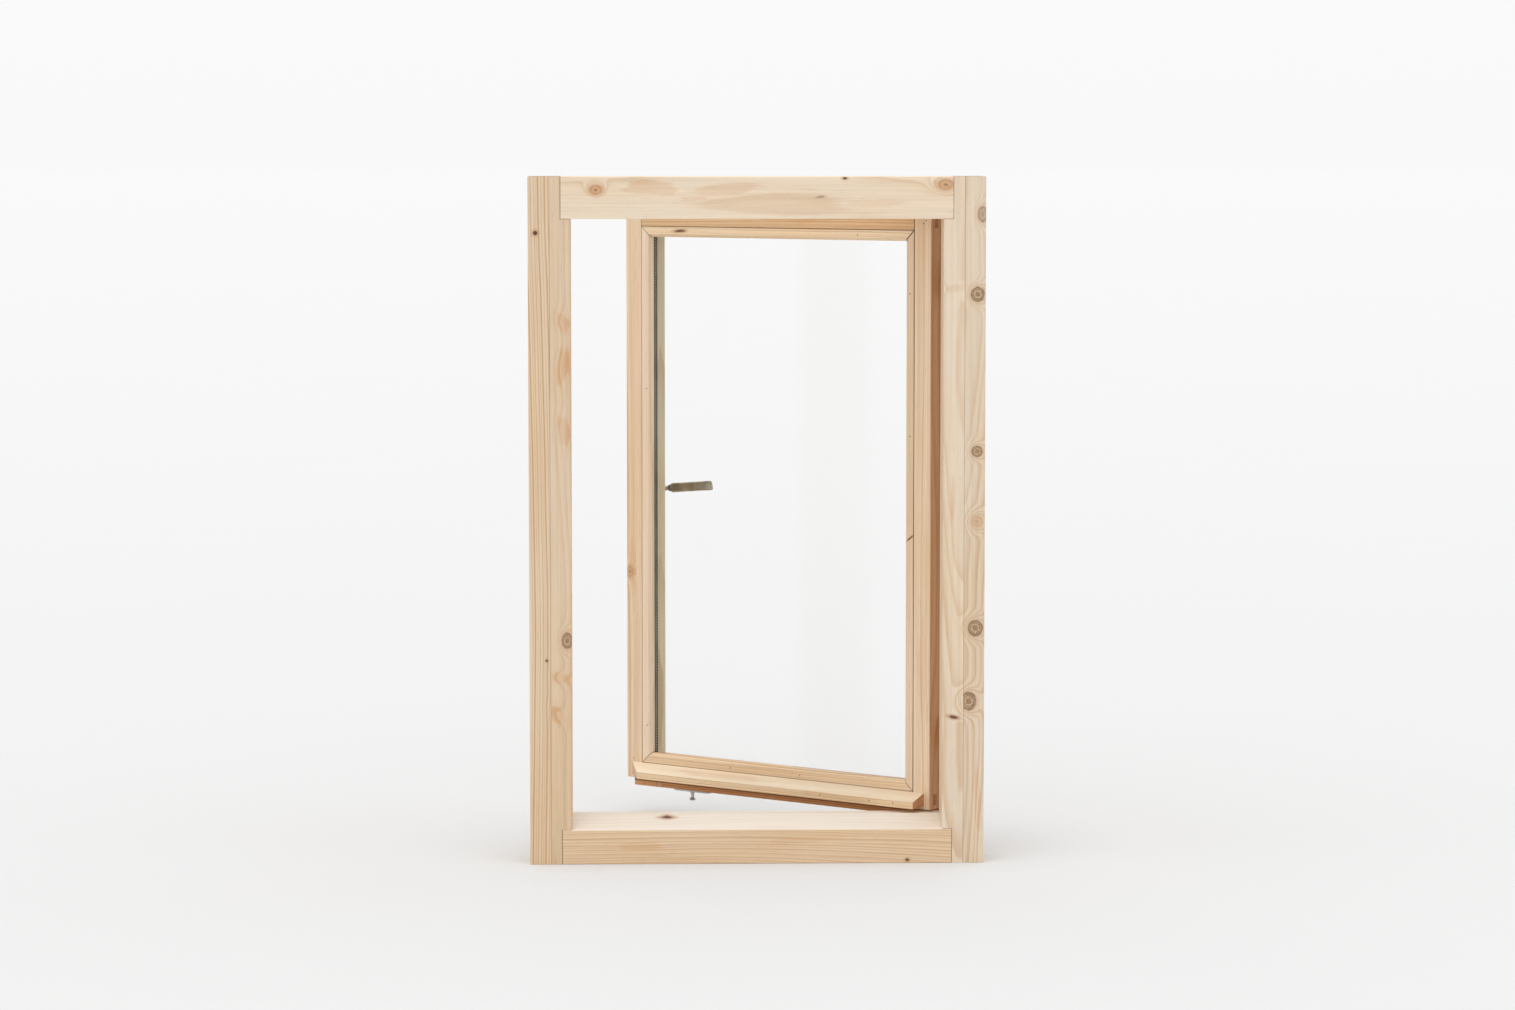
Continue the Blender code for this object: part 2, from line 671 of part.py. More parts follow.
def pinion_outline():
    """Involute teeth; a gap, not a tooth, faces the rack."""
    pitch_r = MODULE * TEETH / 2
    base_r = pitch_r * math.cos(PRESSURE)
    radii = [pitch_r - DEDENDUM, base_r] + [base_r + (pitch_r + ADDENDUM - base_r) * t / 3 for t in (1, 2, 3)]

    def involute(angle):
        return math.tan(angle) - angle

    def half_angle(radius):
        roll = involute(math.acos(base_r / radius)) if radius > base_r else 0.0
        return math.pi / (2 * TEETH) - BACKLASH / pitch_r + involute(PRESSURE) - roll

    points = []
    for tooth in range(TEETH):
        centre = 2 * math.pi * (tooth + 0.5) / TEETH
        flank = [(radius, centre - half_angle(radius)) for radius in radii]
        flank += [(radius, centre + half_angle(radius)) for radius in reversed(radii)]
        points += [(radius * math.cos(angle), radius * math.sin(angle)) for radius, angle in flank]
    return points


def pinion(pivot, axis):
    """The gear on the spindle, with a plain hub at each side that turns in the gear case."""
    hole = rectangle((-SPINDLE_HALF - GAP,) * 2, (SPINDLE_HALF + GAP,) * 2)
    turn = Matrix.Rotation(HANDLE_TILT, 4, 'Y')
    place = Matrix.Translation(axis) @ turn @ flat_matrix(0)
    gear = add("pinion", outline_mesh("pinion", [pinion_outline()], ROD_W - 0.4 * MM), place,
               "bright_steel", pivot)
    hub = add_cutter("pinion_hub", outline_mesh("pinion_hub", [circle(6.4 * MM)], 14.4 * MM), place, pivot)
    square = Matrix.Translation(axis) @ flat_matrix(0)
    bore = add_cutter("pinion_bore", outline_mesh("pinion_bore", [hole], 20 * MM), square, pivot)
    join(gear, hub)
    cut(gear, bore)


def gear_case(rod_front, rod_back, centre_y, pivot, stile):
    """A case let into the stile behind the faceplate; its cheeks carry the pinion's hubs."""
    cheek, half_w, half_h = 2 * MM, 7.5 * MM, 35 * MM
    axis_x = -BODY_X + SPINDLE_INSET
    back = axis_x + MODULE * TEETH / 2 + ADDENDUM + 0.5 * MM
    inner_w = half_w - cheek
    case = box_part("gear_case", (rod_front, centre_y - half_w, SPINDLE_Z - half_h),
                    (back + cheek, centre_y + half_w, SPINDLE_Z + half_h), "zinc_plate", pivot)
    cut(case,
        box_cutter("case_hollow", (rod_front - MM, centre_y - inner_w, SPINDLE_Z - half_h + cheek),
                   (back, centre_y + inner_w, SPINDLE_Z + half_h - cheek), pivot),
        box_cutter("case_rod_way", (rod_front - MM, centre_y - inner_w, SPINDLE_Z - half_h - MM),
                   (rod_back + GAP, centre_y + inner_w, SPINDLE_Z + half_h + MM), pivot),
        rod_cutter("case_bore", (axis_x, centre_y - half_w - MM, SPINDLE_Z),
                   (axis_x, centre_y + half_w + MM, SPINDLE_Z), 6.6 * MM, pivot))
    cut(stile, box_cutter("case_pocket", (rod_front - GAP, centre_y - half_w - GAP, SPINDLE_Z - half_h - GAP),
                          (back + cheek + GAP, centre_y + half_w + GAP, SPINDLE_Z + half_h + GAP), pivot))


def cam(name, z, edge, rod_front, centre_y, pivot, rod, faceplate):
    """A mushroom cam riveted through the rod and standing out of a slot in the faceplate."""
    tip, head = 6 * MM, 2 * MM
    base = rod_front - GAP - edge
    rivet_r = 2 * MM
    tail = base + GAP + ROD_T - GAP
    profile = [(0, tip), (CAM_HEAD_R, tip), (CAM_HEAD_R, tip - head), (CAM_STEM_R, tip - head),
               (CAM_STEM_R, -base), (rivet_r, -base), (rivet_r, -tail), (0, -tail)]
    turned("cam_" + name, profile, (edge, centre_y, z), -ACROSS, "bright_steel", pivot)
    cut(rod, rod_cutter("rivet_hole", (edge, centre_y, z), (rod_front + ROD_T + MM, centre_y, z),
                        rivet_r + GAP, pivot))
    wide = CAM_STEM_R + 0.6 * MM
    cut(faceplate, box_cutter("cam_slot", (edge - MM, centre_y - wide, z - wide),
                              (rod_front + MM, centre_y + wide, z + ROD_TRAVEL + wide),
                              faceplate.parent))


def striker(name, z, stile):
    """A keeper let into the frame; its wall holds the raised cam from the room side."""
    seat_x = -FRAME_W / 2 + FRAME_FACE - FRAME_REBATE
    centre_y = sash_y(LOCK_DEPTH)
    thick, half_w, below, above = 2 * MM, 9 * MM, 18 * MM, 40 * MM
    wall = (centre_y + CAM_HEAD_R + 0.6 * MM, 3 * MM, 5.5 * MM)
    plate = box_part("striker_" + name, (seat_x - thick, centre_y - half_w, z - below),
                     (seat_x, centre_y + half_w, z + above), "zinc_plate")
    join(plate, box_cutter("keeper_wall", (seat_x - thick / 2, wall[0], z + 8.5 * MM),
                           (seat_x + wall[2], wall[0] + wall[1], z + 24 * MM)))
    cut(stile, box_cutter("striker_recess", (seat_x - thick - GAP, centre_y - half_w - GAP, z - below - GAP),
                          (seat_x + MM, centre_y + half_w + GAP, z + above + GAP)))
    for label, level in (("low", z - below + 6 * MM), ("high", z + above - 6 * MM)):
        screw("striker_%s_screw_%s" % (name, label), (seat_x - 0.1 * MM, centre_y, level), -ACROSS,
              26 * MM, "bright_steel", None, (plate, stile))


# ---------------------------------------------------------------- lever handle

def handle(sash_pivot, pivot, stile, axis):
    """Rosette on the sash's room face; spindle, elbowed neck and flat grip turn together."""
    wide, tall, thick = ROSETTE
    face = sash_y(SASH_D)
    outline = eased(rectangle((-wide / 2, -tall / 2), (wide / 2, tall / 2)), 6 * MM)
    centre = Vector((axis.x, face + GAP + thick / 2, axis.z))
    rosette = add("handle_rosette", outline_mesh("handle_rosette", [outline], thick),
                  Matrix.Translation(centre) @ flat_matrix(0), "satin_nickel", sash_pivot)
    way_r = 6 * MM
    way = rod_cutter("spindle_way", (axis.x, sash_y(LOCK_DEPTH), axis.z),
                     (axis.x, face + 2 * thick, axis.z), way_r, sash_pivot)
    cut(rosette, way)
    cut(stile, way)
    for label, step in (("lower", -22 * MM), ("upper", 22 * MM)):
        screw("rosette_screw_" + label, (axis.x, face + GAP + thick - 0.1 * MM, axis.z + step), -INWARD,
              27 * MM, "bright_steel", sash_pivot, (rosette, stile), head_r=4 * MM)
    hub = face + GAP + thick + GAP
    socket = hub + 16 * MM
    box_part("handle_spindle", (axis.x - SPINDLE_HALF, sash_y(LOCK_DEPTH - 7 * MM), axis.z - SPINDLE_HALF),
             (axis.x + SPINDLE_HALF, socket - GAP, axis.z + SPINDLE_HALF), "bright_steel", pivot)
    neck(pivot, axis, hub, socket)
    grip_y = sash_y(GRIP_DEPTH)
    grip = box_part("handle_grip", (axis.x + GRIP_X[0], grip_y - GRIP_T / 2, axis.z - GRIP_H / 2),
                    (axis.x + GRIP_X[1], grip_y + GRIP_T / 2, axis.z + GRIP_H / 2), "satin_nickel", pivot)
    soften = grip.modifiers.new("soft_edges", 'BEVEL')
    soften.width = 1.2 * MM
    soften.segments = 2


def neck(pivot, axis, hub, socket):
    """A turned foot over the spindle, then a round elbow into the grip, with two collars."""
    foot_r, flange_r, top = 8 * MM, 9.5 * MM, 3 * MM
    height = socket - hub
    profile = [(0, height + top), (NECK_R, height + top), (foot_r, height), (foot_r, 3 * MM),
               (flange_r, 2 * MM), (flange_r, 0), (0, 0)]
    part = turned("handle_neck", profile, (axis.x, hub, axis.z), INWARD, "satin_nickel", pivot)
    grip_y = sash_y(GRIP_DEPTH)
    bend = [Vector((axis.x, socket - MM, axis.z))]
    centre = Vector((axis.x + NECK_BEND, grip_y - NECK_BEND, axis.z))
    for step in range(9):
        angle = math.pi - step * math.pi / 16
        bend.append(centre + NECK_BEND * Vector((math.cos(angle), math.sin(angle), 0)))
    bend.append(Vector((axis.x + GRIP_X[0] - GAP, grip_y, axis.z)))
    curve = bpy.data.curves.new("neck_elbow", 'CURVE')
    curve.dimensions = '3D'
    curve.bevel_depth = NECK_R
    curve.bevel_resolution = 4
    curve.use_fill_caps = True
    spline = curve.splines.new('POLY')
    spline.points.add(len(bend) - 1)
    for point, place in zip(spline.points, bend):
        point.co = (*place, 1)
    join(part, add_cutter("neck_elbow", curve_to_mesh("neck_elbow", curve), Matrix.Identity(4), pivot))
    half = SPINDLE_HALF + GAP
    cut(part, box_cutter("neck_socket", (axis.x - half, hub - MM, axis.z - half),
                         (axis.x + half, socket, axis.z + half), pivot))
    level = hub + 8 * MM
    grub_r, deep = 2 * MM, SPINDLE_HALF + GAP
    turned("grub_screw", [(0, 0), (grub_r, 0), (grub_r, -4 * MM), (0, -4 * MM)],
           (axis.x, level, axis.z - deep), UP, "bright_steel", pivot, steps=16)
    cut(part, rod_cutter("grub_hole", (axis.x, level, axis.z), (axis.x, level, axis.z - 2 * foot_r),
                         grub_r + GAP, pivot))
    ring_r = NECK_R + 1.8 * MM
    bore = NECK_R + GAP
    start = GRIP_X[0] - 5.5 * MM
    turned_ring("neck_collar", bore, ring_r, 3.6 * MM,
                (axis.x + start, grip_y, axis.z), ACROSS, "satin_nickel", pivot)


def turned_ring(name, inner, outer, width, origin, direction, finish, pivot):
    """A ring with a rounded outer face."""
    edge = 0.6 * MM
    profile = [(inner, width), (outer - edge, width), (outer, width - edge), (outer, edge),
               (outer - edge, 0), (inner, 0), (inner, width)]
    return turned(name, profile, origin, direction, finish, pivot)


# ---------------------------------------------------------------- stay plate

def stay(pivot, rail):
    """A thin plate under the overlap, with a flared peg for a stay to hook on."""
    length, width, thick = STAY
    top = BODY_Z[0] - LIP_FOOT - GAP
    middle = sash_y((LIP_D + SASH_D) / 2)
    plate = box_part("stay_plate", (STAY_X - length / 2, middle - width / 2, top - thick),
                     (STAY_X + length / 2, middle + width / 2, top), "zinc_plate", pivot)
    shank, head = 3.2 * MM, 6 * MM
    rivet = 2.4 * MM
    drop = PEG_DROP
    profile = [(0, thick - GAP), (rivet, thick - GAP), (rivet, -GAP), (shank + MM, -GAP),
               (shank, -2 * MM), (shank, -drop + 8 * MM), (head, -drop + 3 * MM), (head, -drop + MM),
               (head - MM, -drop), (0, -drop)]
    turned("stay_peg", profile, (STAY_X, middle, top - thick), UP, "zinc_plate", pivot)
    cut(plate, rod_cutter("peg_hole", (STAY_X, middle, top - 2 * thick), (STAY_X, middle, top + thick),
                          rivet + GAP, pivot))
    for label, sign in (("lock", -1), ("hinge", 1)):
        x = STAY_X + sign * (length / 2 - 12 * MM)
        screw("stay_screw_" + label, (x, middle, top - thick + 0.1 * MM), UP, 18 * MM, "bright_steel",
              pivot, (plate, rail))


# ---------------------------------------------------------------- assembly

def build():
    sash_pivot = new_pivot("sash_pivot", (HINGE_X, HINGE_Y, 0))
    axis = Vector((-BODY_X + SPINDLE_INSET, sash_y(LOCK_DEPTH), SPINDLE_Z))
    handle_pivot = new_pivot("handle_pivot", axis, sash_pivot)
    rod_pivot = new_pivot("rod_slide", (-BODY_X, sash_y(LOCK_DEPTH), SPINDLE_Z), sash_pivot)

    frame_stiles = frame_members()
    sash_stiles, rails = sash_members(sash_pivot)
    beads(sash_pivot)
    weather_bar(sash_pivot)
    weather_seal(sash_pivot, [*sash_stiles.values(), *rails.values()])
    glass_unit(sash_pivot)
    for name, z in zip(("lower", "upper"), HINGE_Z):
        hinge(name, z, sash_pivot, frame_stiles["right"], sash_stiles["right"])
    edge_lock(sash_pivot, rod_pivot, sash_stiles["left"])
    for name, z in zip(("lower", "upper"), CAM_Z):
        striker(name, z, frame_stiles["left"])
    handle(sash_pivot, handle_pivot, sash_stiles["left"], axis)
    pinion(handle_pivot, axis)
    stay(sash_pivot, rails["bottom"])

    sash_pivot.rotation_euler.z = -OPEN_ANGLE
    handle_pivot.rotation_euler.y = -HANDLE_TILT


build()
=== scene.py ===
"""Looks of an inward-opening timber window: bare softwood, clear glass, plain metal, pale studio.

Metres, +Z up. Sash pieces are drawn in the shut sash's own axes and turned open about the
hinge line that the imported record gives, so each lands on the CAD part it stands for.
"""
import json
import logging
import math
from dataclasses import dataclass, replace
from enum import Enum
import bpy
import numpy as np
from mathutils import Matrix, Vector


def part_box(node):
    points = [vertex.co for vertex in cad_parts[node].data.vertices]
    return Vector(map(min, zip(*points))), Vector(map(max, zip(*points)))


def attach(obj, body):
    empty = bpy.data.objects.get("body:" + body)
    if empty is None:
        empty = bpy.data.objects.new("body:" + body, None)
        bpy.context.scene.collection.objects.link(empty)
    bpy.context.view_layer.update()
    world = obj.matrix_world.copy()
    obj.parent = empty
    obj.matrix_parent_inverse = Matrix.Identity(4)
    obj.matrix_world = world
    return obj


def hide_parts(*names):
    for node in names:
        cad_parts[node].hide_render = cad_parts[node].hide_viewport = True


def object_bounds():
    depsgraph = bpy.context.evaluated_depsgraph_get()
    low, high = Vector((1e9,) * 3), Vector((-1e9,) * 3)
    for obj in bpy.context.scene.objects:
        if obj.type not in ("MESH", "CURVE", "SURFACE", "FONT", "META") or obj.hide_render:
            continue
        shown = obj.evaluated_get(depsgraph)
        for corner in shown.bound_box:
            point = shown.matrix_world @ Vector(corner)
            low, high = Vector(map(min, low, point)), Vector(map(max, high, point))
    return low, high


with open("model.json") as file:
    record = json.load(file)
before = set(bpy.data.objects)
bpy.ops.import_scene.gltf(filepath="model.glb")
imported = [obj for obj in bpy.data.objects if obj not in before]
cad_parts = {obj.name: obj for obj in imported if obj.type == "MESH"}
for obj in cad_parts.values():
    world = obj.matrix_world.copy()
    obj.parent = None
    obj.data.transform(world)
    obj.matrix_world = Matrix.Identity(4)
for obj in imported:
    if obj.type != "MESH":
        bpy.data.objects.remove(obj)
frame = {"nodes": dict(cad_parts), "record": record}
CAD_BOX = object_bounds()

LOG = logging.getLogger("window")
MM = 0.001
Socket = bpy.types.NodeSocket
Value = float | Socket
Colour = tuple[float, float, float]

HANDLE_TILT = math.radians(5.5)    # the lever rests a little above horizontal
SHOULDER = 55.5 * MM               # the head and sill stop this far in from the frame's edge


def srgb(red: float, green: float, blue: float) -> Colour:
    """Turn a display colour into the linear values that shaders use.

    Args:
        red: Red, 0 to 255.
        green: Green, 0 to 255.
        blue: Blue, 0 to 255.

    Returns:
        The linear colour.
    """
    parts = (channel / 255 for channel in (red, green, blue))
    return tuple(c / 12.92 if c <= 0.04045 else ((c + 0.055) / 1.055) ** 2.4 for c in parts)


def rgba(colour: Colour) -> tuple[float, float, float, float]:
    """Add full opacity to a colour.

    Args:
        colour: The linear colour.

    Returns:
        The same colour with an alpha of one.
    """
    return (*colour, 1.0)


# ------------------------------------------------------------------ node graphs

class Graph:
    """One material's node tree. Each step returns the socket that the next one reads."""

    def __init__(self, name: str) -> None:
        """Start a material with a Principled shader.

        Args:
            name: The material's name.
        """
        self.material = bpy.data.materials.new(name)
        self.material.use_nodes = True
        self.tree = self.material.node_tree
        self.shader = self.tree.nodes["Principled BSDF"]
        self.output = self.tree.nodes["Material Output"]

    def put(self, socket: Socket, value: object) -> None:
        """Link a socket to another, or set its own value.

        Args:
            socket: The input that takes the value.
            value: A socket, number, vector or colour.
        """
        if isinstance(value, bpy.types.NodeSocket):
            self.tree.links.new(value, socket)
        else:
            socket.default_value = value

    def node(self, kind: str, values: dict, output: int | str = 0, **settings: object) -> Socket:
        """Add a node.

        Args:
            kind: The node's type name without its ShaderNode prefix.
            values: Input name or number to value.
            output: The output to return.
            **settings: Properties of the node.

        Returns:
            The chosen output socket.
        """
        made = self.tree.nodes.new("ShaderNode" + kind)
        for key, setting in settings.items():
            setattr(made, key, setting)
        for key, value in values.items():
            self.put(made.inputs[key], value)
        return made.outputs[output]

    def math(self, operation: str, *values: Value, clamp: bool = False) -> Socket:
        """Add a Math node.

        Args:
            operation: The node's operation.
            *values: Its inputs in order.
            clamp: Whether the result is kept between 0 and 1.

        Returns:
            The result.
        """
        return self.node("Math", dict(enumerate(values)), operation=operation, use_clamp=clamp)

    def vector(self, operation: str, *values: object) -> Socket:
        """Add a Vector Math node.

        Args:
            operation: The node's operation.
            *values: Its inputs in order.

        Returns:
            The resulting vector.
        """
        return self.node("VectorMath", dict(enumerate(values)), operation=operation)

    def total(self, *values: Value) -> Value:
        """Add several values together.

        Args:
            *values: Sockets or numbers.

        Returns:
            Their sum.
        """
        result = values[0]
        for value in values[1:]:
            result = self.math("ADD", result, value)
        return result

    def times(self, *values: Value) -> Value:
        """Multiply several values together.

        Args:
            *values: Sockets or numbers.

        Returns:
            Their product.
        """
        result = values[0]
        for value in values[1:]:
            result = self.math("MULTIPLY", result, value)
        return result

    def object_place(self) -> Socket:
        """Give the place of the shaded point in its object's own axes.

        Returns:
            The place as a vector socket.
        """
        return self.node("TexCoord", {}, "Object")

    def noise(self, place: Socket, stretch: tuple[float, float, float], detail: float = 2.0,
              roughness: float = 0.5, seed: float = 0.0) -> Socket:
        """Sample smooth noise, stretched by axis.

        Args:
            place: Where to sample.
            stretch: Waves per metre along each axis.
            detail: Octaves.
            roughness: How strongly the finer octaves count.
            seed: Offset that gives another pattern.

        Returns:
            A value of about 0 to 1.
        """
        scaled = self.vector("MULTIPLY_ADD", place, stretch, (seed, seed * 0.7, seed * 1.3))
        return self.node("TexNoise", {"Vector": scaled, "Scale": 1.0, "Detail": detail,
                                      "Roughness": roughness})

    def rise(self, value: Value, start: Value, stop: Value, low: float = 0.0,
             high: float = 1.0) -> Socket:
        """Ease smoothly between two levels.

        Args:
            value: What is measured.
            start: Where the change starts.
            stop: Where it is complete.
            low: Level before.
            high: Level after.

        Returns:
            The eased level.
        """
        return self.node("MapRange", {0: value, 1: start, 2: stop, 3: low, 4: high},
                         interpolation_type="SMOOTHSTEP")

    def mix(self, factor: Value, first: object, second: object, blend: str = "MIX") -> Socket:
        """Mix two colours.

        Args:
            factor: Share of the second, 0 to 1.
            first: A colour or socket.
            second: A colour or socket.
            blend: The blending rule.

        Returns:
            The mixed colour.
        """
        made = self.tree.nodes.new("ShaderNodeMix")
        made.data_type = "RGBA"
        made.blend_type = blend
        sockets = [s for s in made.inputs if s.enabled]
        for socket, value in zip(sockets, (factor, first, second)):
            self.put(socket, rgba(value) if isinstance(value, tuple) else value)
        return next(s for s in made.outputs if s.enabled)

    def scaled(self, colour: object, amount: Socket) -> Socket:
        """Scale a colour by a socket.

        Args:
            colour: The colour.
            amount: The factor's socket.

        Returns:
            The scaled colour.
        """
        made = self.tree.nodes.new("ShaderNodeVectorMath")
        made.operation = "SCALE"
        self.put(made.inputs[0], colour)
        self.put(made.inputs["Scale"], amount)
        return made.outputs[0]

    def bump(self, height: Socket, depth: float, strength: float = 1.0) -> None:
        """Give the shader a relief.

        Args:
            height: The relief, 0 to 1.
            depth: Metres between 0 and 1.
            strength: Share of the relief that shows.
        """
        normal = self.node("Bump", {"Height": height, "Distance": depth, "Strength": strength})
        self.put(self.shader.inputs["Normal"], normal)

    def surface(self, **values: object) -> None:
        """Set the shader's sockets.

        Args:
            **values: Socket name, with underscores for spaces, to value.
        """
        for key, value in values.items():
            value = rgba(value) if isinstance(value, tuple) and len(value) == 3 else value
            self.put(self.shader.inputs[key.replace("_", " ")], value)


# ------------------------------------------------------------------ where things are

@dataclass(frozen=True)
class Swing:
    """Where the open sash and its lever stand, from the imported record's joints."""

    pivot: Vector
    angle: float
    spindle: Vector

    @classmethod
    def from_record(cls, record: dict) -> "Swing":
        """Read the hinge line, opening and lever axis.

        Args:
            record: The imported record.

        Returns:
            The swing as drawn.
        """
        joints = {joint["name"]: joint for joint in record["behaviour"]["joints"]}
        hinge, lever = joints["sash_hinge"], joints["handle_turn"]
        pivot = Vector(hinge["pos_m"]) * Vector((1, 1, 0))
        return cls(pivot, math.radians(-hinge["range_deg"][0]), Vector(lever["pos_m"]))

    @property
    def opened(self) -> Matrix:
        """The turn that takes the shut sash to where it stands."""
        about = Matrix.Translation(self.pivot)
        return about @ Matrix.Rotation(-self.angle, 4, "Z") @ about.inverted()

    @property
    def lever(self) -> Matrix:
        """The lever's own axes: X along the grip, Y into the room, origin on the spindle."""
        turn = Matrix.Rotation(-self.angle, 4, "Z") @ Matrix.Rotation(-HANDLE_TILT, 4, "Y")
        return Matrix.Translation(self.spindle) @ turn

    def place(self, graph: Graph) -> Socket:
        """Give the shaded point's place with the sash turned back shut.

        Args:
            graph: The material being made.

        Returns:
            The place as a vector socket.
        """
        back = self.opened.inverted()
        return graph.node("Mapping", {"Vector": graph.object_place(), "Location": back.translation,
                                      "Rotation": back.to_euler()})


def local_box(node: str, axes: Matrix) -> tuple[np.ndarray, np.ndarray]:
    """Measure a CAD node in turned axes.

    Args:
        node: The CAD node's name.
        axes: The axes to measure in, as a matrix to world axes.

    Returns:
        Its lowest and highest corners there.
    """
    mesh = frame["nodes"][node].data
    points = np.empty(len(mesh.vertices) * 3)
    mesh.vertices.foreach_get("co", points)
    back = np.array(axes.inverted())
    points = points.reshape(-1, 3) @ back[:3, :3].T + back[:3, 3]
    return points.min(axis=0), points.max(axis=0)


# ------------------------------------------------------------------ array-built shapes

@dataclass(frozen=True)
class Shape:
    """A surface as arrays: points (n, 3) and faces as blocks of equal-sided index rows."""

    points: np.ndarray
    faces: tuple[np.ndarray, ...]

    def moved(self, matrix: Matrix) -> "Shape":
        """Carry the shape by a matrix.

        Args:
            matrix: The rigid move.

        Returns:
            The moved shape.
        """
        turn = np.array(matrix)
        return Shape(self.points @ turn[:3, :3].T + turn[:3, 3], self.faces)

    def repeated(self, places: np.ndarray) -> "Shape":
        """Copy the shape to several places.

        Args:
            places: Offsets, one row each.

        Returns:
            All the copies as one shape.
        """
        count, size = len(places), len(self.points)
        points = (self.points[None] + places[:, None]).reshape(-1, 3)
        step = np.arange(count)[:, None, None] * size
        faces = tuple((block[None] + step).reshape(-1, block.shape[1]) for block in self.faces)
        return Shape(points, faces)


def joined(*shapes: Shape) -> Shape:
    """Put several shapes in one.

    Args:
        *shapes: The shapes.

    Returns:
        One shape that holds them all.
    """
    starts = np.cumsum([0] + [len(shape.points) for shape in shapes[:-1]])
    faces = tuple(block + start for shape, start in zip(shapes, starts) for block in shape.faces)
    return Shape(np.concatenate([shape.points for shape in shapes]), faces)


def loft(rings: np.ndarray, ends: bool = True) -> Shape:
    """Skin closed rings, and close both ends with fans.

    Point j of ring i joins point j of ring i + 1, and the last point of a ring its first.

    Args:
        rings: Points as (rings, points in a ring, 3).
        ends: Whether the first and last rings are closed by a centre point.

    Returns:
        The skinned shape.
    """
    count, sides = rings.shape[:2]
    row = np.arange(count - 1)[:, None] * sides
    here, after = np.arange(sides), (np.arange(sides) + 1) % sides
    quads = np.stack([row + here, row + after, row + sides + after, row + sides + here], axis=-1)
    points = rings.reshape(-1, 3)
    blocks = [quads.reshape(-1, 4)]
    if ends:
        centres = np.stack([rings[0].mean(axis=0), rings[-1].mean(axis=0)])
        first, last = len(points), len(points) + 1
        far = (count - 1) * sides
        blocks.append(np.stack([after, here, np.full(sides, first)], axis=-1))
        blocks.append(np.stack([far + here, far + after, np.full(sides, last)], axis=-1))
        points = np.concatenate([points, centres])
    return Shape(points, tuple(blocks))


def lathe(profile: list[tuple[float, float]], sides: int = 48) -> Shape:
    """Turn a profile about Z.

    Each profile point (radius, height) becomes the ring radius * (cos t, sin t), height.

    Args:
        profile: Radius and height pairs from the foot to the top.
        sides: Points in a ring.

    Returns:
        The turned shape, closed at both ends.
    """
    radius, height = np.array(profile).T
    angle = np.linspace(0, 2 * math.pi, sides, endpoint=False)
    rings = np.stack([radius[:, None] * np.cos(angle), radius[:, None] * np.sin(angle),
                      np.repeat(height[:, None], sides, axis=1)], axis=-1)
    return loft(rings)


def soft_corner(radius: float, height: float, bend: float,
                steps: int = 4) -> list[tuple[float, float]]:
    """Round the corner where a turned side meets its top.

    Args:
        radius: Radius of the side.
        height: Height of the top.
        bend: Radius of the rounding.
        steps: Segments of the arc.

    Returns:
        Profile points along the arc, from the side to the top.
    """
    turn = np.linspace(0, math.pi / 2, steps + 1)
    return [(radius - bend + bend * math.cos(t), height - bend + bend * math.sin(t)) for t in turn]


def superellipse(half: np.ndarray, power: float, sides: int) -> np.ndarray:
    """Trace rounded rectangles |x/a|^n + |z/b|^n = 1 by angle.

    Args:
        half: Half widths and half heights, one row a ring.
        power: The exponent n; 2 is an ellipse and larger is squarer.
        sides: Points in a ring.

    Returns:
        The rings' two coordinates as (rings, sides, 2).
    """
    angle = np.linspace(0, 2 * math.pi, sides, endpoint=False) + math.pi / sides
    cosine, sine = np.cos(angle), np.sin(angle)
    reach = (np.abs(cosine) ** power + np.abs(sine) ** power) ** (-1 / power)
    unit = np.stack([cosine * reach, sine * reach], axis=-1)
    return half[:, None, :] * unit[None]


def made(name: str, shape: Shape, finish: "Finish", body: str, stands_for: tuple[str, ...] = (),
         smooth: float = 35.0) -> bpy.types.Object:
    """Turn a shape into a shown piece.

    Args:
        name: The piece's name.
        shape: Its surface in world axes.
        finish: What it is made of.
        body: The CAD body it rides on.
        stands_for: CAD nodes that it replaces.
        smooth: Edges sharper than this many degrees stay crisp.

    Returns:
        The new object.
    """
    mesh = bpy.data.meshes.new(name)
    faces = [row for block in shape.faces for row in block.tolist()]
    mesh.from_pydata(shape.points.tolist(), [], faces)
    mesh.validate()
    mesh.polygons.foreach_set("use_smooth", np.ones(len(mesh.polygons), dtype=bool))
    mesh.set_sharp_from_angle(angle=math.radians(smooth))
    obj = bpy.data.objects.new(name, mesh)
    bpy.context.scene.collection.objects.link(obj)
    mesh.materials.append(finish.material)
    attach(obj, body)
    if stands_for:
        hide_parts(*stands_for)
    LOG.info("piece %s: %d faces on %s", name, len(mesh.polygons), body)
    return obj


# ------------------------------------------------------------------ finishes

@dataclass(frozen=True)
class Finish:
    """A made material and the record's slot it belongs to."""

    material: bpy.types.Material
    slot: str | None = None

    def dress(self, *nodes: str) -> None:
        """Give CAD nodes this finish.

        Args:
            *nodes: CAD node names.
        """
        for node in nodes:
            obj = frame["nodes"][node]
            obj.data.materials.clear()
            obj.data.materials.append(self.material)
            LOG.info("dressed %s with %s", node, self.material.name)


class MarkKind(Enum):
    """What a mark in the timber is."""

    KNOT = "sound knot with its own rings"
    PALE_KNOT = "live knot, little darker than the wood"
    LEAF = "dark pitch streak"
    BLUSH = "orange flame in the grain"
    DOT = "pin knot"


# Dark lines: glue lines, and painted shade in the gaps where members meet.
JOINT_SHADE_AND_GLUE = srgb(104, 70, 44)
END_GRAIN = srgb(196, 160, 124)
# Painted warm shade for deep weather-facing steps.
RECESS_SHADE_TONE = srgb(232, 196, 152)

# How far round a mark the rings bend, in sizes of the mark, and by how much.
SWELLS = {MarkKind.KNOT: (1.25, 1.1), MarkKind.PALE_KNOT: (1.5, 1.1), MarkKind.BLUSH: (1.3, 0.16)}


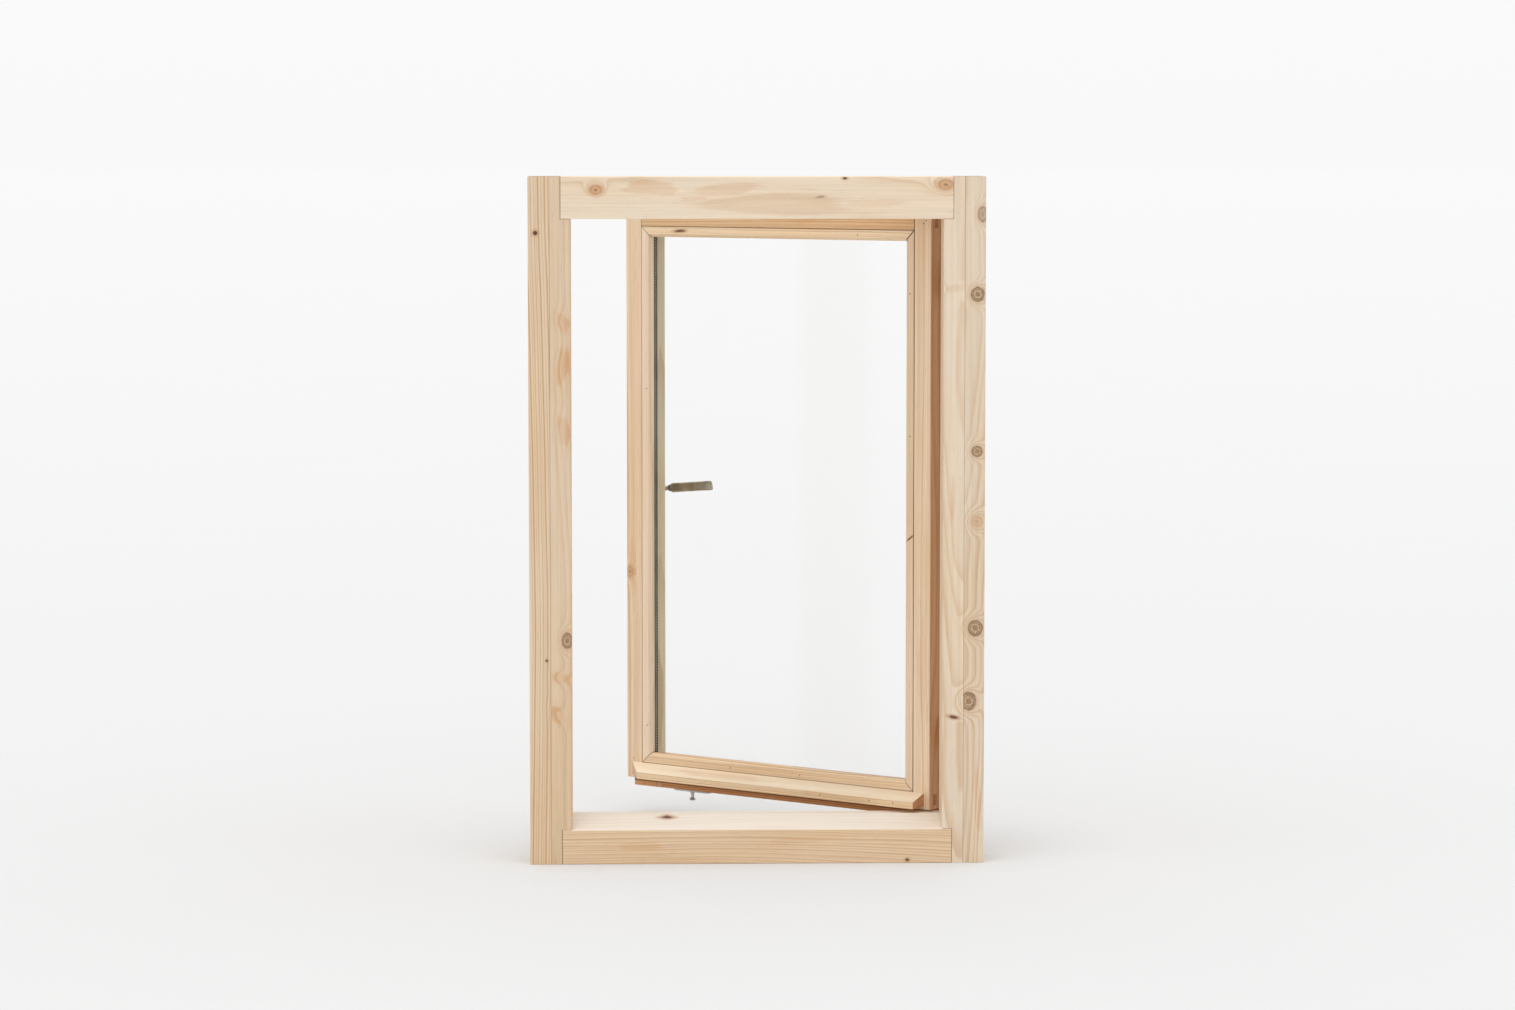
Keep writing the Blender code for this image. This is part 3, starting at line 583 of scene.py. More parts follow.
@dataclass(frozen=True)
class Line:
    """A dark line across the face: a glue line, or painted shade in the gap where members meet.
    The points where x * across + z * up equals level.
    """

    across: float
    up: float
    level: float
    depth: float = 0.7
    width: float = 1.2 * MM


@dataclass(frozen=True)
class Mark:
    """One mark, placed on the member's weather face."""

    kind: MarkKind
    x: float
    z: float
    wide: float
    tall: float
    turn: float = 0.0
    strength: float = 1.0
    deep: float | None = None                 # depth of its middle, where it lies on a top face


@dataclass(frozen=True)
class Softwood:
    """Planed spruce: rings cut along the grain, fibres, flecks, knots and darker end grain, with
    painted light on upward faces and painted shade in joints, recesses and side faces.
    """

    name: str
    slot: str
    upright: bool
    light: Colour = srgb(236, 218, 192)
    dark: Colour = srgb(214, 178, 134)
    pith: tuple[float, float] = (0.0, 0.12)   # across the member, and in depth
    ring: float = 3.6 * MM
    taper: float = 0.01
    wander: float = 16 * MM
    contrast: float = 0.75
    seed: float = 0.0
    seam: float | None = None                 # place of a glue line across the member
    seam_step: float = 0.045                  # how far apart the two boards grew
    seam_calm: float = 0.0                    # how much fainter the second board's rings are
    lines: tuple[Line, ...] = ()              # joints with the members next to it, dark with painted shade in their gaps
    marks: tuple[Mark, ...] = ()
    painted_top_light: Colour | None = None               # painted light: tone that upward faces are lightened to, as if lit from above
    painted_shade_from: float | None = None           # painted warm shade on weather-facing steps deeper than this
    face: float = -57.5 * MM                  # depth of the weather face that marks are set on
    painted_side_shade: Colour | None = None                # painted shade: tint of the faces that look to the hinge side

    def finish(self, swing: Swing | None = None) -> Finish:
        """Make the material.

        Args:
            swing: Given for sash members, whose places are in the shut sash's axes.

        Returns:
            The finish.
        """
        graph = Graph(self.name)
        point = swing.place(graph) if swing else graph.object_place()
        across, along, depth = self._axes(graph, point)
        board, side = self._board(graph, across, along, depth)
        reach = self._reach(graph, board, across, along)
        late, band = self._rings(graph, reach)
        fibre = graph.noise(board, (1500, 22, 1500), 3.0, 0.6, self.seed)
        colour = self._ground(graph, board, late, band, fibre, side)
        # Painted light: upward faces are lightened as if lit from above.
        if self.painted_top_light:
            lit = graph.rise(self._facing(graph, Vector((0, 0, 1))), 0.3, 0.8, 0.0, 0.62)
            colour = graph.mix(lit, colour, self.painted_top_light)
        for mark in self.marks:
            colour = self._marked(graph, colour, mark, across, along, point, late, side, depth)
        # Dark glue lines, and painted shade in the gaps where members meet.
        colour = self._joints(graph, colour, point)
        # Painted shade: deep weather-facing steps are darkened and warmed.
        if self.painted_shade_from is not None:
            front = self._facing(graph, swing.opened.to_3x3() @ Vector((0, -1, 0)))
            recess_shade = graph.times(graph.rise(front, 0.4, 0.8),
                               graph.math("GREATER_THAN", depth, self.painted_shade_from))
            colour = graph.mix(recess_shade, colour, graph.mix(1.0, colour, RECESS_SHADE_TONE, "MULTIPLY"))
        # Painted shade: faces looking to the hinge side are tinted darker.
        if self.painted_side_shade:
            aside = self._facing(graph, swing.opened.to_3x3() @ Vector((1, 0, 0)))
            colour = graph.mix(graph.rise(aside, 0.4, 0.8), colour,
                               graph.mix(1.0, colour, self.painted_side_shade, "MULTIPLY"))
        colour = graph.mix(self._end_face(graph, swing), colour,
                           graph.mix(1.0, colour, END_GRAIN, "MULTIPLY"))
        rough = graph.total(graph.times(fibre, 0.16), graph.times(late, 0.05), 0.33)
        relief = graph.total(graph.times(fibre, 0.55), graph.times(late, -0.35), 0.4)
        graph.surface(Base_Color=colour, Roughness=rough, Specular_IOR_Level=0.5)
        graph.bump(relief, 0.12 * MM, 0.55)
        return Finish(graph.material, self.slot)

    def _axes(self, graph: Graph, point: Socket) -> tuple[Socket, Socket, Socket]:
        """Split a place into across, along and depth.

        Args:
            graph: The material being made.
            point: The place.

        Returns:
            Three sockets.
        """
        parts = graph.tree.nodes.new("ShaderNodeSeparateXYZ")
        graph.put(parts.inputs[0], point)
        x, y, z = parts.outputs
        return (x, z, y) if self.upright else (z, x, y)

    def _board(self, graph: Graph, across: Socket, along: Socket,
               depth: Socket) -> tuple[Socket, Socket | None]:
        """Place the point in the board that it was sawn from.

        Args:
            graph: The material being made.
            across: Place across the member.
            along: Place along it.
            depth: Place in its depth.

        Returns:
            The place in the board, and which side of the glue line it is on.
        """
        side = None
        if self.seam is not None:
            side = graph.math("GREATER_THAN", across, self.seam)
            across = graph.math("MULTIPLY_ADD", side, self.seam_step, across)
            along = graph.math("MULTIPLY_ADD", side, 0.83, along)
        return graph.node("CombineXYZ", {0: across, 1: along, 2: depth}), side

    def _reach(self, graph: Graph, board: Socket, across: Socket, along: Socket) -> Socket:
        """Measure how far the point is from the tree's wandering heart, bent round knots.

        Args:
            graph: The material being made.
            board: Place in the board.
            across: Place across the member.
            along: Place along it.

        Returns:
            The distance.
        """
        slow = graph.node("TexNoise", {"Vector": graph.vector(
            "MULTIPLY_ADD", board, (3.0, 1.15, 3.0), (self.seed, self.seed * 0.3, 2.0)),
            "Scale": 1.0, "Detail": 1.5}, "Color")
        drift = graph.vector("MULTIPLY_ADD", graph.vector("SUBTRACT", slow, (0.5, 0.5, 0.5)),
                             (self.wander * 2.4, 0, self.wander * 2.4), board)
        centred = graph.vector("MULTIPLY", graph.vector(
            "SUBTRACT", drift, (self.pith[0], 0, self.pith[1])), (1, 0, 1))
        reach = graph.node("VectorMath", {0: centred}, "Value", operation="LENGTH")
        ripple = graph.noise(board, (55, 7, 55), 2.0, 0.55, self.seed + 4)
        reach = graph.total(reach, graph.times(along, self.taper),
                            graph.math("MULTIPLY_ADD", ripple, 1.5 * MM, -0.75 * MM))
        for mark in self.marks:
            if mark.kind in SWELLS:
                loose, lift = SWELLS[mark.kind]
                spread = self._spread(graph, mark, across, along, loose)
                swell = graph.math("EXPONENT", graph.times(spread, spread, -0.8))
                lift *= min(mark.wide, mark.tall)
                reach = graph.math("MULTIPLY_ADD", swell, lift, reach)
        return reach

    def _spread(self, graph: Graph, mark: Mark, across: Socket, along: Socket,
                loose: float = 1.0) -> Socket:
        """Measure the distance from a mark in units of its own size.

        Args:
            graph: The material being made.
            mark: The mark.
            across: Place across the member.
            along: Place along it.
            loose: Factor on the mark's size.

        Returns:
            Zero at the middle and one on the edge.
        """
        middle = (mark.x, mark.z) if self.upright else (mark.z, mark.x)
        half = (mark.wide, mark.tall) if self.upright else (mark.tall, mark.wide)
        offset = graph.node("CombineXYZ", {0: graph.math("SUBTRACT", across, middle[0]),
                                           1: graph.math("SUBTRACT", along, middle[1]), 2: 0.0})
        lean = -mark.turn if self.upright else mark.turn
        turned = graph.node("Mapping", {"Vector": offset, "Rotation": (0, 0, math.radians(lean)),
                                        }) if mark.turn else offset
        scaled = graph.vector("MULTIPLY", turned,
                              (2 / (half[0] * loose), 2 / (half[1] * loose), 0))
        return graph.node("VectorMath", {0: scaled}, "Value", operation="LENGTH")

    def _rings(self, graph: Graph, reach: Socket) -> tuple[Socket, Socket]:
        """Turn distance from the heart into pale spring wood and narrow dark summer wood.

        Args:
            graph: The material being made.
            reach: The distance.

        Returns:
            The share of summer wood, and each year's own random strength.
        """
        years = graph.math("DIVIDE", reach, self.ring)
        uneven = graph.node("TexNoise", {"W": graph.times(years, 0.31), "Scale": 1.0,
                                         "Detail": 1.0}, noise_dimensions="1D")
        years = graph.math("MULTIPLY_ADD", uneven, 2.6, years)
        season = graph.math("FRACT", years)
        climb = graph.math("POWER", graph.rise(season, 0.15, 0.9), 1.7)
        late = graph.times(climb, graph.rise(season, 0.9, 1.0, 1.0, 0.0))
        band = graph.node("TexWhiteNoise", {"W": graph.math("FLOOR", years)},
                          noise_dimensions="1D")
        return late, band

    def _ground(self, graph: Graph, board: Socket, late: Socket, band: Socket, fibre: Socket,
                side: Socket | None) -> Socket:
        """Colour the clear wood.

        Args:
            graph: The material being made.
            board: Place in the board.
            late: Share of summer wood.
            band: The year's random strength.
            fibre: Fine fibre noise.
            side: Which side of the glue line, if there is one.

        Returns:
            The colour.
        """
        share = graph.times(late, graph.math("MULTIPLY_ADD", band, 0.65, 0.35), self.contrast)
        if side is not None and self.seam_calm:
            share = graph.times(share, graph.math("MULTIPLY_ADD", side, -self.seam_calm, 1.0))
        colour = graph.mix(share, self.light, self.dark)
        cloud = graph.noise(board, (16, 2.2, 16), 3.0, 0.55, self.seed + 9)
        warm = graph.rise(cloud, 0.35, 0.72)
        colour = graph.mix(graph.times(warm, 0.5), colour,
                           graph.mix(1.0, colour, srgb(246, 232, 208), "MULTIPLY"))
        streak = graph.noise(board, (210, 2.6, 210), 3.0, 0.6, self.seed + 13)
        fleck = graph.noise(board, (620, 34, 620), 2.0, 0.5, self.seed + 21)
        shade = graph.total(graph.times(graph.rise(streak, 0.3, 0.75), -0.11),
                            graph.times(graph.rise(fleck, 0.60, 0.72), -0.10),
                            graph.math("MULTIPLY_ADD", fibre, 0.16, 0.98))
        if side is not None:
            shade = graph.math("MULTIPLY_ADD", side, -0.045, shade)
        return graph.scaled(colour, shade)

    def _marked(self, graph: Graph, colour: Socket, mark: Mark, across: Socket, along: Socket,
                point: Socket, late: Socket, side: Socket | None, depth: Socket) -> Socket:
        """Lay one mark over the wood.

        Args:
            graph: The material being made.
            colour: The wood so far.
            mark: The mark.
            across: Place across the member.
            along: Place along it.
            point: The place itself, for uneven edges.
            late: Share of summer wood.
            side: Which side of the glue line, if there is one.
            depth: Place in the depth; marks taper away from the weather face.

        Returns:
            The colour with the mark.
        """
        fine = 75 if mark.kind is MarkKind.BLUSH else 190
        slow = fine * (0.2 if mark.kind is MarkKind.BLUSH else 0.8)
        stretch = (fine, fine, slow) if self.upright else (slow, fine, fine)
        ragged = graph.noise(point, stretch, 3.0, 0.6, mark.x * 90 + mark.z * 50)
        spread = self._spread(graph, mark, across, along)
        uneven = {MarkKind.BLUSH: 2.4, MarkKind.LEAF: 0.5}.get(mark.kind, 0.32)
        rim_at = graph.times(spread, graph.math("MULTIPLY_ADD", ragged, uneven, 1 - uneven / 2))
        if mark.deep is None:
            sunk = graph.rise(depth, self.face + 12 * MM, self.face + 45 * MM, 0.0, 1.6)
        else:
            off = graph.math("ABSOLUTE", graph.math("SUBTRACT", depth, mark.deep))
            sunk = graph.times(off, 2 / mark.tall)
        rim_at = graph.math("ADD", rim_at, sunk)
        if side is not None:
            away = side if mark.x < self.seam else graph.math("SUBTRACT", 1.0, side)
            rim_at = graph.math("MULTIPLY_ADD", away, 9.0, rim_at)
        power = mark.strength
        if mark.kind is MarkKind.BLUSH:
            soft = graph.times(graph.rise(rim_at, 1.25, 0.75), 0.5 * power,
                               graph.math("MULTIPLY_ADD", late, 0.6, 0.45))
            return graph.mix(soft, colour, srgb(214, 152, 90))
        if mark.kind is MarkKind.LEAF:
            colour = graph.mix(graph.times(graph.rise(rim_at, 1.9, 0.9), 0.55 * power), colour,
                               srgb(190, 136, 88))
            return graph.mix(graph.times(graph.rise(rim_at, 1.05, 0.5), 0.9 * power), colour,
                             srgb(98, 58, 34))
        if mark.kind is MarkKind.DOT:
            colour = graph.mix(graph.times(graph.rise(rim_at, 2.4, 0.9), 0.4 * power), colour,
                               srgb(196, 142, 96))
            return graph.mix(graph.times(graph.rise(rim_at, 1.1, 0.6), 0.9 * power), colour,
                             srgb(92, 58, 36))
        pale = mark.kind is MarkKind.PALE_KNOT
        rings = graph.math("SINE", graph.math("MULTIPLY_ADD", rim_at, 15.0,
                                              graph.times(ragged, 7.0)))
        inner = graph.mix(graph.math("MULTIPLY_ADD", rings, 0.5, 0.5),
                          srgb(226, 184, 142) if pale else srgb(210, 180, 140),
                          srgb(204, 148, 100) if pale else srgb(150, 118, 84))
        heart = graph.rise(rim_at, 0.42, 0.12)
        inner = graph.mix(graph.times(heart, 0.8 if pale else 0.6), inner, srgb(120, 74, 44))
        crack = graph.rise(graph.noise(point, (420, 420, 260), 2.0, 0.6, mark.z * 70), 0.57, 0.66)
        inner = graph.mix(graph.times(crack, 0.25 if pale else 0.7), inner, srgb(92, 66, 46))
        halo = graph.times(graph.rise(rim_at, 2.1, 0.95), 0.42 if pale else 0.34)
        colour = graph.mix(graph.times(halo, power), colour, srgb(208, 156, 104))
        core = graph.rise(rim_at, 1.03, 0.9)
        colour = graph.mix(graph.times(core, (0.62 if pale else 0.88) * power), colour, inner)
        rim = graph.times(graph.rise(rim_at, 0.80, 0.94), graph.rise(rim_at, 1.16, 1.02))
        return graph.mix(graph.times(rim, (0.3 if pale else 0.7) * power), colour,
                         srgb(170, 116, 72) if pale else srgb(104, 74, 50))

    def _joints(self, graph: Graph, colour: Socket, point: Socket) -> Socket:
        """Darken the glue line, and paint shade into the lines where members meet.

        Args:
            graph: The material being made.
            colour: The wood so far.
            point: The place on the face.

        Returns:
            The colour with its joint lines.
        """
        lines = self.lines
        if self.seam is not None:
            lines += (Line(1, 0, self.seam, 0.38),)
        for line in lines:
            level = graph.node("VectorMath", {0: point, 1: (line.across, 0, line.up)}, "Value",
                               operation="DOT_PRODUCT")
            distance = graph.math("ABSOLUTE", graph.math("SUBTRACT", level, line.level))
            share = graph.times(graph.rise(distance, line.width, 0.1 * line.width), line.depth)
            colour = graph.mix(share, colour, JOINT_SHADE_AND_GLUE)
        return colour

    def _facing(self, graph: Graph, axis: Vector) -> Socket:
        """Measure how squarely the surface looks along an axis of its object.

        Args:
            graph: The material being made.
            axis: The direction.

        Returns:
            The cosine of the angle between them.
        """
        normal = graph.node("TexCoord", {}, "Normal")
        return graph.node("VectorMath", {0: normal, 1: axis}, "Value", operation="DOT_PRODUCT")

    def _end_face(self, graph: Graph, swing: Swing | None) -> Socket:
        """Tell end grain from side grain by the surface's own direction.

        Args:
            graph: The material being made.
            swing: Given for sash members.

        Returns:
            One on end faces and zero elsewhere.
        """
        axis = Vector((0, 0, 1)) if self.upright else Vector((1, 0, 0))
        if swing:
            axis = swing.opened.to_3x3() @ axis
        square = graph.math("ABSOLUTE", self._facing(graph, axis))
        return graph.times(graph.rise(square, 0.55, 0.8), 0.8)


@dataclass(frozen=True)
class Metal:
    """A metal or plated finish with fine brushing, smears and a little dirt."""

    name: str
    slot: str
    tone: Colour
    deep: Colour
    rough: float
    brush: tuple[float, float, float] = (400, 400, 400)
    metallic: float = 1.0
    stain: float = 0.25
    dents: float = 0.02 * MM

    def finish(self, swing: Swing | None = None) -> Finish:
        """Make the material.

        Args:
            swing: Given for parts drawn in the shut sash's axes.

        Returns:
            The finish.
        """
        graph = Graph(self.name)
        point = swing.place(graph) if swing else graph.object_place()
        lines = graph.noise(point, self.brush, 4.0, 0.65)
        smear = graph.noise(point, (38, 38, 26), 4.0, 0.6, 3.0)
        spots = graph.rise(graph.noise(point, (330, 330, 330), 2.0, 0.5, 7.0), 0.66, 0.78)
        colour = graph.mix(graph.rise(smear, 0.36, 0.66), self.tone, self.deep)
        colour = graph.mix(graph.times(spots, self.stain), colour, srgb(96, 84, 70))
        colour = graph.scaled(colour, graph.math("MULTIPLY_ADD", lines, 0.24, 0.88))
        rough = graph.total(self.rough, graph.times(lines, 0.14), graph.times(smear, 0.10),
                            graph.times(spots, 0.12), -0.1)
        graph.surface(Base_Color=colour, Metallic=self.metallic, Roughness=rough)
        graph.bump(graph.total(graph.times(lines, 0.6), graph.times(spots, -0.4)), self.dents, 0.6)
        return Finish(graph.material, self.slot)


@dataclass(frozen=True)
class Compound:
    """Rubber, sealant or plastic: a matt body colour with a bloom, speckle and fine moulding."""

    name: str
    slot: str
    tone: Colour
    bloom: Colour
    rough: float
    grain: float = 900.0
    relief: float = 0.05 * MM

    def finish(self) -> Finish:
        """Make the material.

        Returns:
            The finish.
        """
        graph = Graph(self.name)
        point = graph.object_place()
        cloud = graph.noise(point, (45, 45, 30), 4.0, 0.6)
        speckle = graph.noise(point, (self.grain,) * 3, 2.0, 0.5, 5.0)
        colour = graph.mix(graph.rise(cloud, 0.42, 0.78), self.tone, self.bloom)
        colour = graph.scaled(colour, graph.math("MULTIPLY_ADD", speckle, 0.22, 0.89))
        graph.surface(Base_Color=colour, Roughness=graph.math("MULTIPLY_ADD", speckle, 0.2,
                                                             self.rough))
        graph.bump(graph.total(speckle, graph.times(cloud, 0.8)), self.relief, 0.5)
        return Finish(graph.material, self.slot)


@dataclass(frozen=True)
class ClearGlass:
    """Float glass: clear on its faces, faintly green, with wiped-dry films of dust."""

    name: str
    slot: str
    body: Colour = (0.996, 0.998, 0.996)
    shade: Colour = (0.93, 0.955, 0.94)       # what its shadow lets through
    index: float = 1.22                       # low, so that the panes mirror little

    def finish(self) -> Finish:
        """Make the material, letting light through for shadows.

        Returns:
            The finish.
        """
        graph = Graph(self.name)
        point = graph.object_place()
        film = graph.noise(point, (9, 9, 5), 4.0, 0.62, 2.0)
        graph.surface(Base_Color=self.body, Transmission_Weight=1.0, IOR=self.index,
                      Roughness=graph.times(graph.rise(film, 0.5, 0.85), 0.02))
        clear = graph.node("BsdfTransparent", {"Color": rgba(self.shade)})
        shadow = graph.node("LightPath", {}, "Is Shadow Ray")
        both = graph.node("MixShader", {0: shadow, 1: graph.shader.outputs[0], 2: clear})
        graph.put(graph.output.inputs["Surface"], both)
        return Finish(graph.material, self.slot)


# ------------------------------------------------------------------ turned and swept hardware

def upright(direction: Vector, origin: Vector) -> Matrix:
    """Give axes whose Z points along a direction.

    Args:
        direction: The new Z.
        origin: The new origin.

    Returns:
        The matrix to outer axes.
    """
    return Matrix.Translation(origin) @ direction.to_track_quat("Z", "Y").to_matrix().to_4x4()


@dataclass(frozen=True)
class CrossScrew:
    """A countersunk screw with a cross recess, pointing down its own -Z."""

    head: float
    shank: float
    length: float

    def shape(self) -> Shape:
        """Build the head's recess as a height over a polar grid, and the shank below it.

        The top sits at height zero and falls by the recess depth where both |x| and |y| lie
        within a cross whose arms narrow towards their ends.

        Returns:
            The closed screw.
        """
        sides, depth = 32, 0.36 * self.head
        angle = np.linspace(0, 2 * math.pi, sides, endpoint=False)
        radii = self.head * np.array([0.04, 0.1, 0.17, 0.24, 0.34, 0.46, 0.56, 0.62, 0.72, 0.86])
        radius = np.repeat(radii[:, None], sides, axis=1)
        x, y = radius * np.cos(angle), radius * np.sin(angle)
        thin, wide = np.minimum(np.abs(x), np.abs(y)), np.maximum(np.abs(x), np.abs(y))
        arm = np.clip((0.6 * self.head - wide) / (0.12 * self.head), 0, 1)
        slot = np.clip((0.17 * self.head - thin) / (0.06 * self.head), 0, 1)
        top = np.stack([x, y, -depth * arm * slot], axis=-1)
        side = np.array([(self.head * 0.97, -0.02), (self.head, -0.1), (self.shank, -1.0)])
        skirt_radius = np.append(side[:, 0], [self.shank, self.shank, 0.4 * self.shank])
        neck = -(self.head - self.shank)
        skirt_height = np.append(side[:, 1] * -neck, [neck, 3 * MM - self.length, -self.length])
        skirt = np.stack([skirt_radius[:, None] * np.cos(angle),
                          skirt_radius[:, None] * np.sin(angle),
                          np.repeat(skirt_height[:, None], sides, axis=1)], axis=-1)
        return loft(np.concatenate([top, skirt])[::-1])


@dataclass(frozen=True)
class HexCam:
    """A mushroom cam: a domed head with a hexagon socket, a stem, and a rivet below."""

    head: float
    stem: float
    rivet: float

    def shape(self, tip: float, foot: float) -> Shape:
        """Turn the cam, with the socket as a hexagonal well in the head.

        Args:
            tip: Height of the head's top over the faceplate.
            foot: Height of the rivet's end, below zero.

        Returns:
            The closed cam.
        """
        sides = 36
        angle = np.linspace(0, 2 * math.pi, sides, endpoint=False)
        sixth = math.pi / 3
        hexagon = math.cos(sixth / 2) / np.cos(np.mod(angle, sixth) - sixth / 2)
        rim = soft_corner(self.head, tip, 0.5 * MM)
        outside = [(self.rivet, foot), (self.rivet, -2.8 * MM), (self.stem, -2.8 * MM),
                   (self.stem, tip - 2.4 * MM), (self.head - 0.3 * MM, tip - 2.2 * MM),
                   (self.head, tip - 1.9 * MM)] + rim
        radius, height = np.array(outside).T
        rings = [np.stack([r * np.cos(angle), r * np.sin(angle), np.full(sides, h)], axis=-1)
                 for r, h in zip(radius, height)]
        for share, level in ((0.5, tip), (0.46, tip - 0.3 * MM), (0.46, tip - 1.6 * MM)):
            reach = share * self.head * hexagon
            rings.append(np.stack([reach * np.cos(angle), reach * np.sin(angle),
                                   np.full(sides, level)], axis=-1))
        return loft(np.stack(rings))


@dataclass(frozen=True)
class Screws:
    """Every screw on the object, each rebuilt in the box of the CAD node it stands for."""

    finish: Finish
    swing: Swing

    def dress(self) -> None:
        """Build each screw along the longest side of its own box."""
        for node in sorted(frame["nodes"]):
            if "screw" not in node or node == "grub_screw":
                continue
            on_frame = node.startswith("striker")
            axes = Matrix.Identity(4) if on_frame else self.swing.opened
            low, high = local_box(node, axes)
            size, middle = high - low, (low + high) / 2
            long = int(np.argmax(size))
            inward = {"striker": -1, "faceplate": 1, "rosette": -1, "stay": 1}[node.split("_")[0]]
            point = Vector([inward if axis == long else 0 for axis in range(3)])
            seat = Vector(middle.tolist())
            seat[long] = float(low[long] if inward > 0 else high[long])
            head = float(np.delete(size, long).max()) / 2
            shape = CrossScrew(head, head * 0.5, float(size[long])).shape()
            made(node.replace("_screw", "_cross_screw"),
                 shape.moved(axes @ upright(-point, seat)), self.finish,
                 "frame" if on_frame else "sash", (node,))


@dataclass(frozen=True)
class LeverHandle:
    """Rosette, turned neck with its rings, elbow, collar and flat grip."""

    finish: Finish
    # Painted reflection: the collar's dark finish stands in for the dark reflections in its chrome
    # rings.
    dark: Finish
    steel: Finish
    swing: Swing
    rosette_bend: float = 3.2 * MM
    neck_r: float = 4.6 * MM
    bend: float = 10 * MM
    ring_depth: float = 0.55 * MM             # of the collar's grooves

    def dress(self) -> None:
        """Build the handle's shown pieces and finish its CAD ones."""
        self._rosette()
        self._neck()
        self._collar()
        self._grip()
        self.steel.dress("handle_spindle", "grub_screw")

    def _rosette(self) -> None:
        """Build the rosette as rounded slabs that shrink towards its face."""
        low, high = local_box("handle_rosette", self.swing.opened)
        half = (high - low) / 2
        middle = (low + high) / 2
        turn = np.linspace(0, math.pi / 2, 6)
        depth = np.concatenate([[low[1]], high[1] - self.rosette_bend * (1 - np.sin(turn))])
        shrink = np.concatenate([[0], self.rosette_bend * (1 - np.cos(turn))])
        sides = np.stack([half[0] - shrink, half[2] - shrink], axis=-1)
        inner = sides[-1:] - 3 * MM
        flat = superellipse(np.concatenate([sides, inner]), 7.0, 72)
        depth = np.append(depth, high[1])
        rings = np.stack([flat[..., 0] + middle[0], np.repeat(depth[:, None], 72, axis=1),
                          flat[..., 1] + middle[2]], axis=-1)
        made("rosette_cover", loft(rings[:, ::-1]).moved(self.swing.opened), self.finish, "sash",
             ("handle_rosette",))

    def _neck(self) -> None:
        """Sweep a circle of changing radius out of the rosette and round the elbow."""
        low, high = local_box("handle_neck", self.swing.lever)
        start, line, end = low[1], high[1] - self.neck_r, high[0]
        foot = [(0, 9.5), (1.6, 9.5), (2.4, 9.0), (2.6, 8.0), (4.2, 7.7), (4.5, 8.2), (5.4, 8.5),
                (6.2, 8.2), (6.5, 7.7), (12.5, 7.5), (15.0, 6.6), (17.0, 5.2), (18.5, 4.6)]
        lead = [(np.array([0, start + rise * MM, 0]), np.array([0, 1, 0]), radius * MM)
                for rise, radius in foot]
        hub = np.array([self.bend, line - self.bend, 0])
        arc = []
        for turn in np.linspace(0, math.pi / 2, 10):
            out = np.array([-math.cos(turn), math.sin(turn), 0])
            arc.append((hub + self.bend * out, np.array([math.sin(turn), math.cos(turn), 0]),
                        self.neck_r))
        stop = [(np.array([end, line, 0]), np.array([1, 0, 0]), self.neck_r)]
        angle = np.linspace(0, 2 * math.pi, 32, endpoint=False)[:, None]
        up = np.array([0, 0, 1])
        rings = [place + radius * (np.cos(angle) * np.cross(ahead, up) + np.sin(angle) * up)
                 for place, ahead, radius in lead + arc + stop]
        made("lever_neck", loft(np.stack(rings)[:, ::-1]).moved(self.swing.lever), self.finish,
             "handle", ("handle_neck",))

    def _collar(self) -> None:
        """Build the ring with two grooves where the neck meets the grip, darkened with painted
        reflection.
        """
        low, high = local_box("neck_collar", self.swing.lever)
        outer = (high[2] - low[2]) / 2
        width = high[0] - low[0]
        bore = self.neck_r + 0.05 * MM
        wave = np.linspace(0, 1, 25)
        radius = outer - self.ring_depth * (0.5 + 0.5 * np.cos(wave * 6 * math.pi))
        profile = [(bore, 0.0)] + list(zip(radius, wave * width)) + [(bore, width)]
        centre = Vector((low[0], (low[1] + high[1]) / 2, 0))
        axes = self.swing.lever @ upright(Vector((1, 0, 0)), centre)
        made("ring_collar", lathe(profile, 40).moved(axes), self.dark, "handle", ("neck_collar",))

    def _grip(self) -> None:
        """Build the flat grip: rounded edges, a swelling root and a slanted, eased tip."""
        low, high = local_box("handle_grip", self.swing.lever)
        length = high[0] - low[0]
        half = (high - low)[1:] / 2
        share = np.array([0.0, 0.004, 0.015, 0.035, 0.07, 0.2, 0.5, 0.8, 0.955, 0.975, 0.99, 1.0])
        size = np.array([0.78, 0.9, 0.97, 1.0, 1.0, 0.985, 0.985, 1.0, 1.0, 0.985, 0.93, 0.84])
        flat = superellipse(np.stack([half[0] * size, half[1] * size], axis=-1), 5.0, 56)
        along = low[0] + share * length
        slant = 2.2 * MM * np.clip((share - 0.9) / 0.1, 0, 1)
        rings = np.stack([along[:, None] - slant[:, None] * (flat[..., 1] / half[1] + 1) / 2,
                          flat[..., 0] + (low[1] + high[1]) / 2,
                          flat[..., 1] + (low[2] + high[2]) / 2], axis=-1)
        made("lever_grip", loft(rings).moved(self.swing.lever), self.finish, "handle",
             ("handle_grip",))


@dataclass(frozen=True)
class EdgeLock:
    """Faceplate, rod, gear and strikers in the lock edge, with hex-headed cams."""

    plate: Finish
    steel: Finish
    cam: HexCam
    swing: Swing

    def dress(self) -> None:
        """Build the cams and finish the CAD pieces."""
        self.plate.dress("lock_faceplate", "drive_rod", "gear_case", "striker_lower",
                         "striker_upper")
        self.steel.dress("pinion")
        for name in ("cam_lower", "cam_upper"):
            low, high = local_box(name, self.swing.opened)
            middle = (low + high) / 2
            edge = local_box("lock_faceplate", self.swing.opened)[0][0]
            seat = Vector((edge, middle[1], middle[2]))
            shape = self.cam.shape(edge - low[0], edge - high[0])
            axes = self.swing.opened @ upright(Vector((-1, 0, 0)), seat)
            made("hex_" + name, shape.moved(axes), self.steel, "drive_rod", (name,))


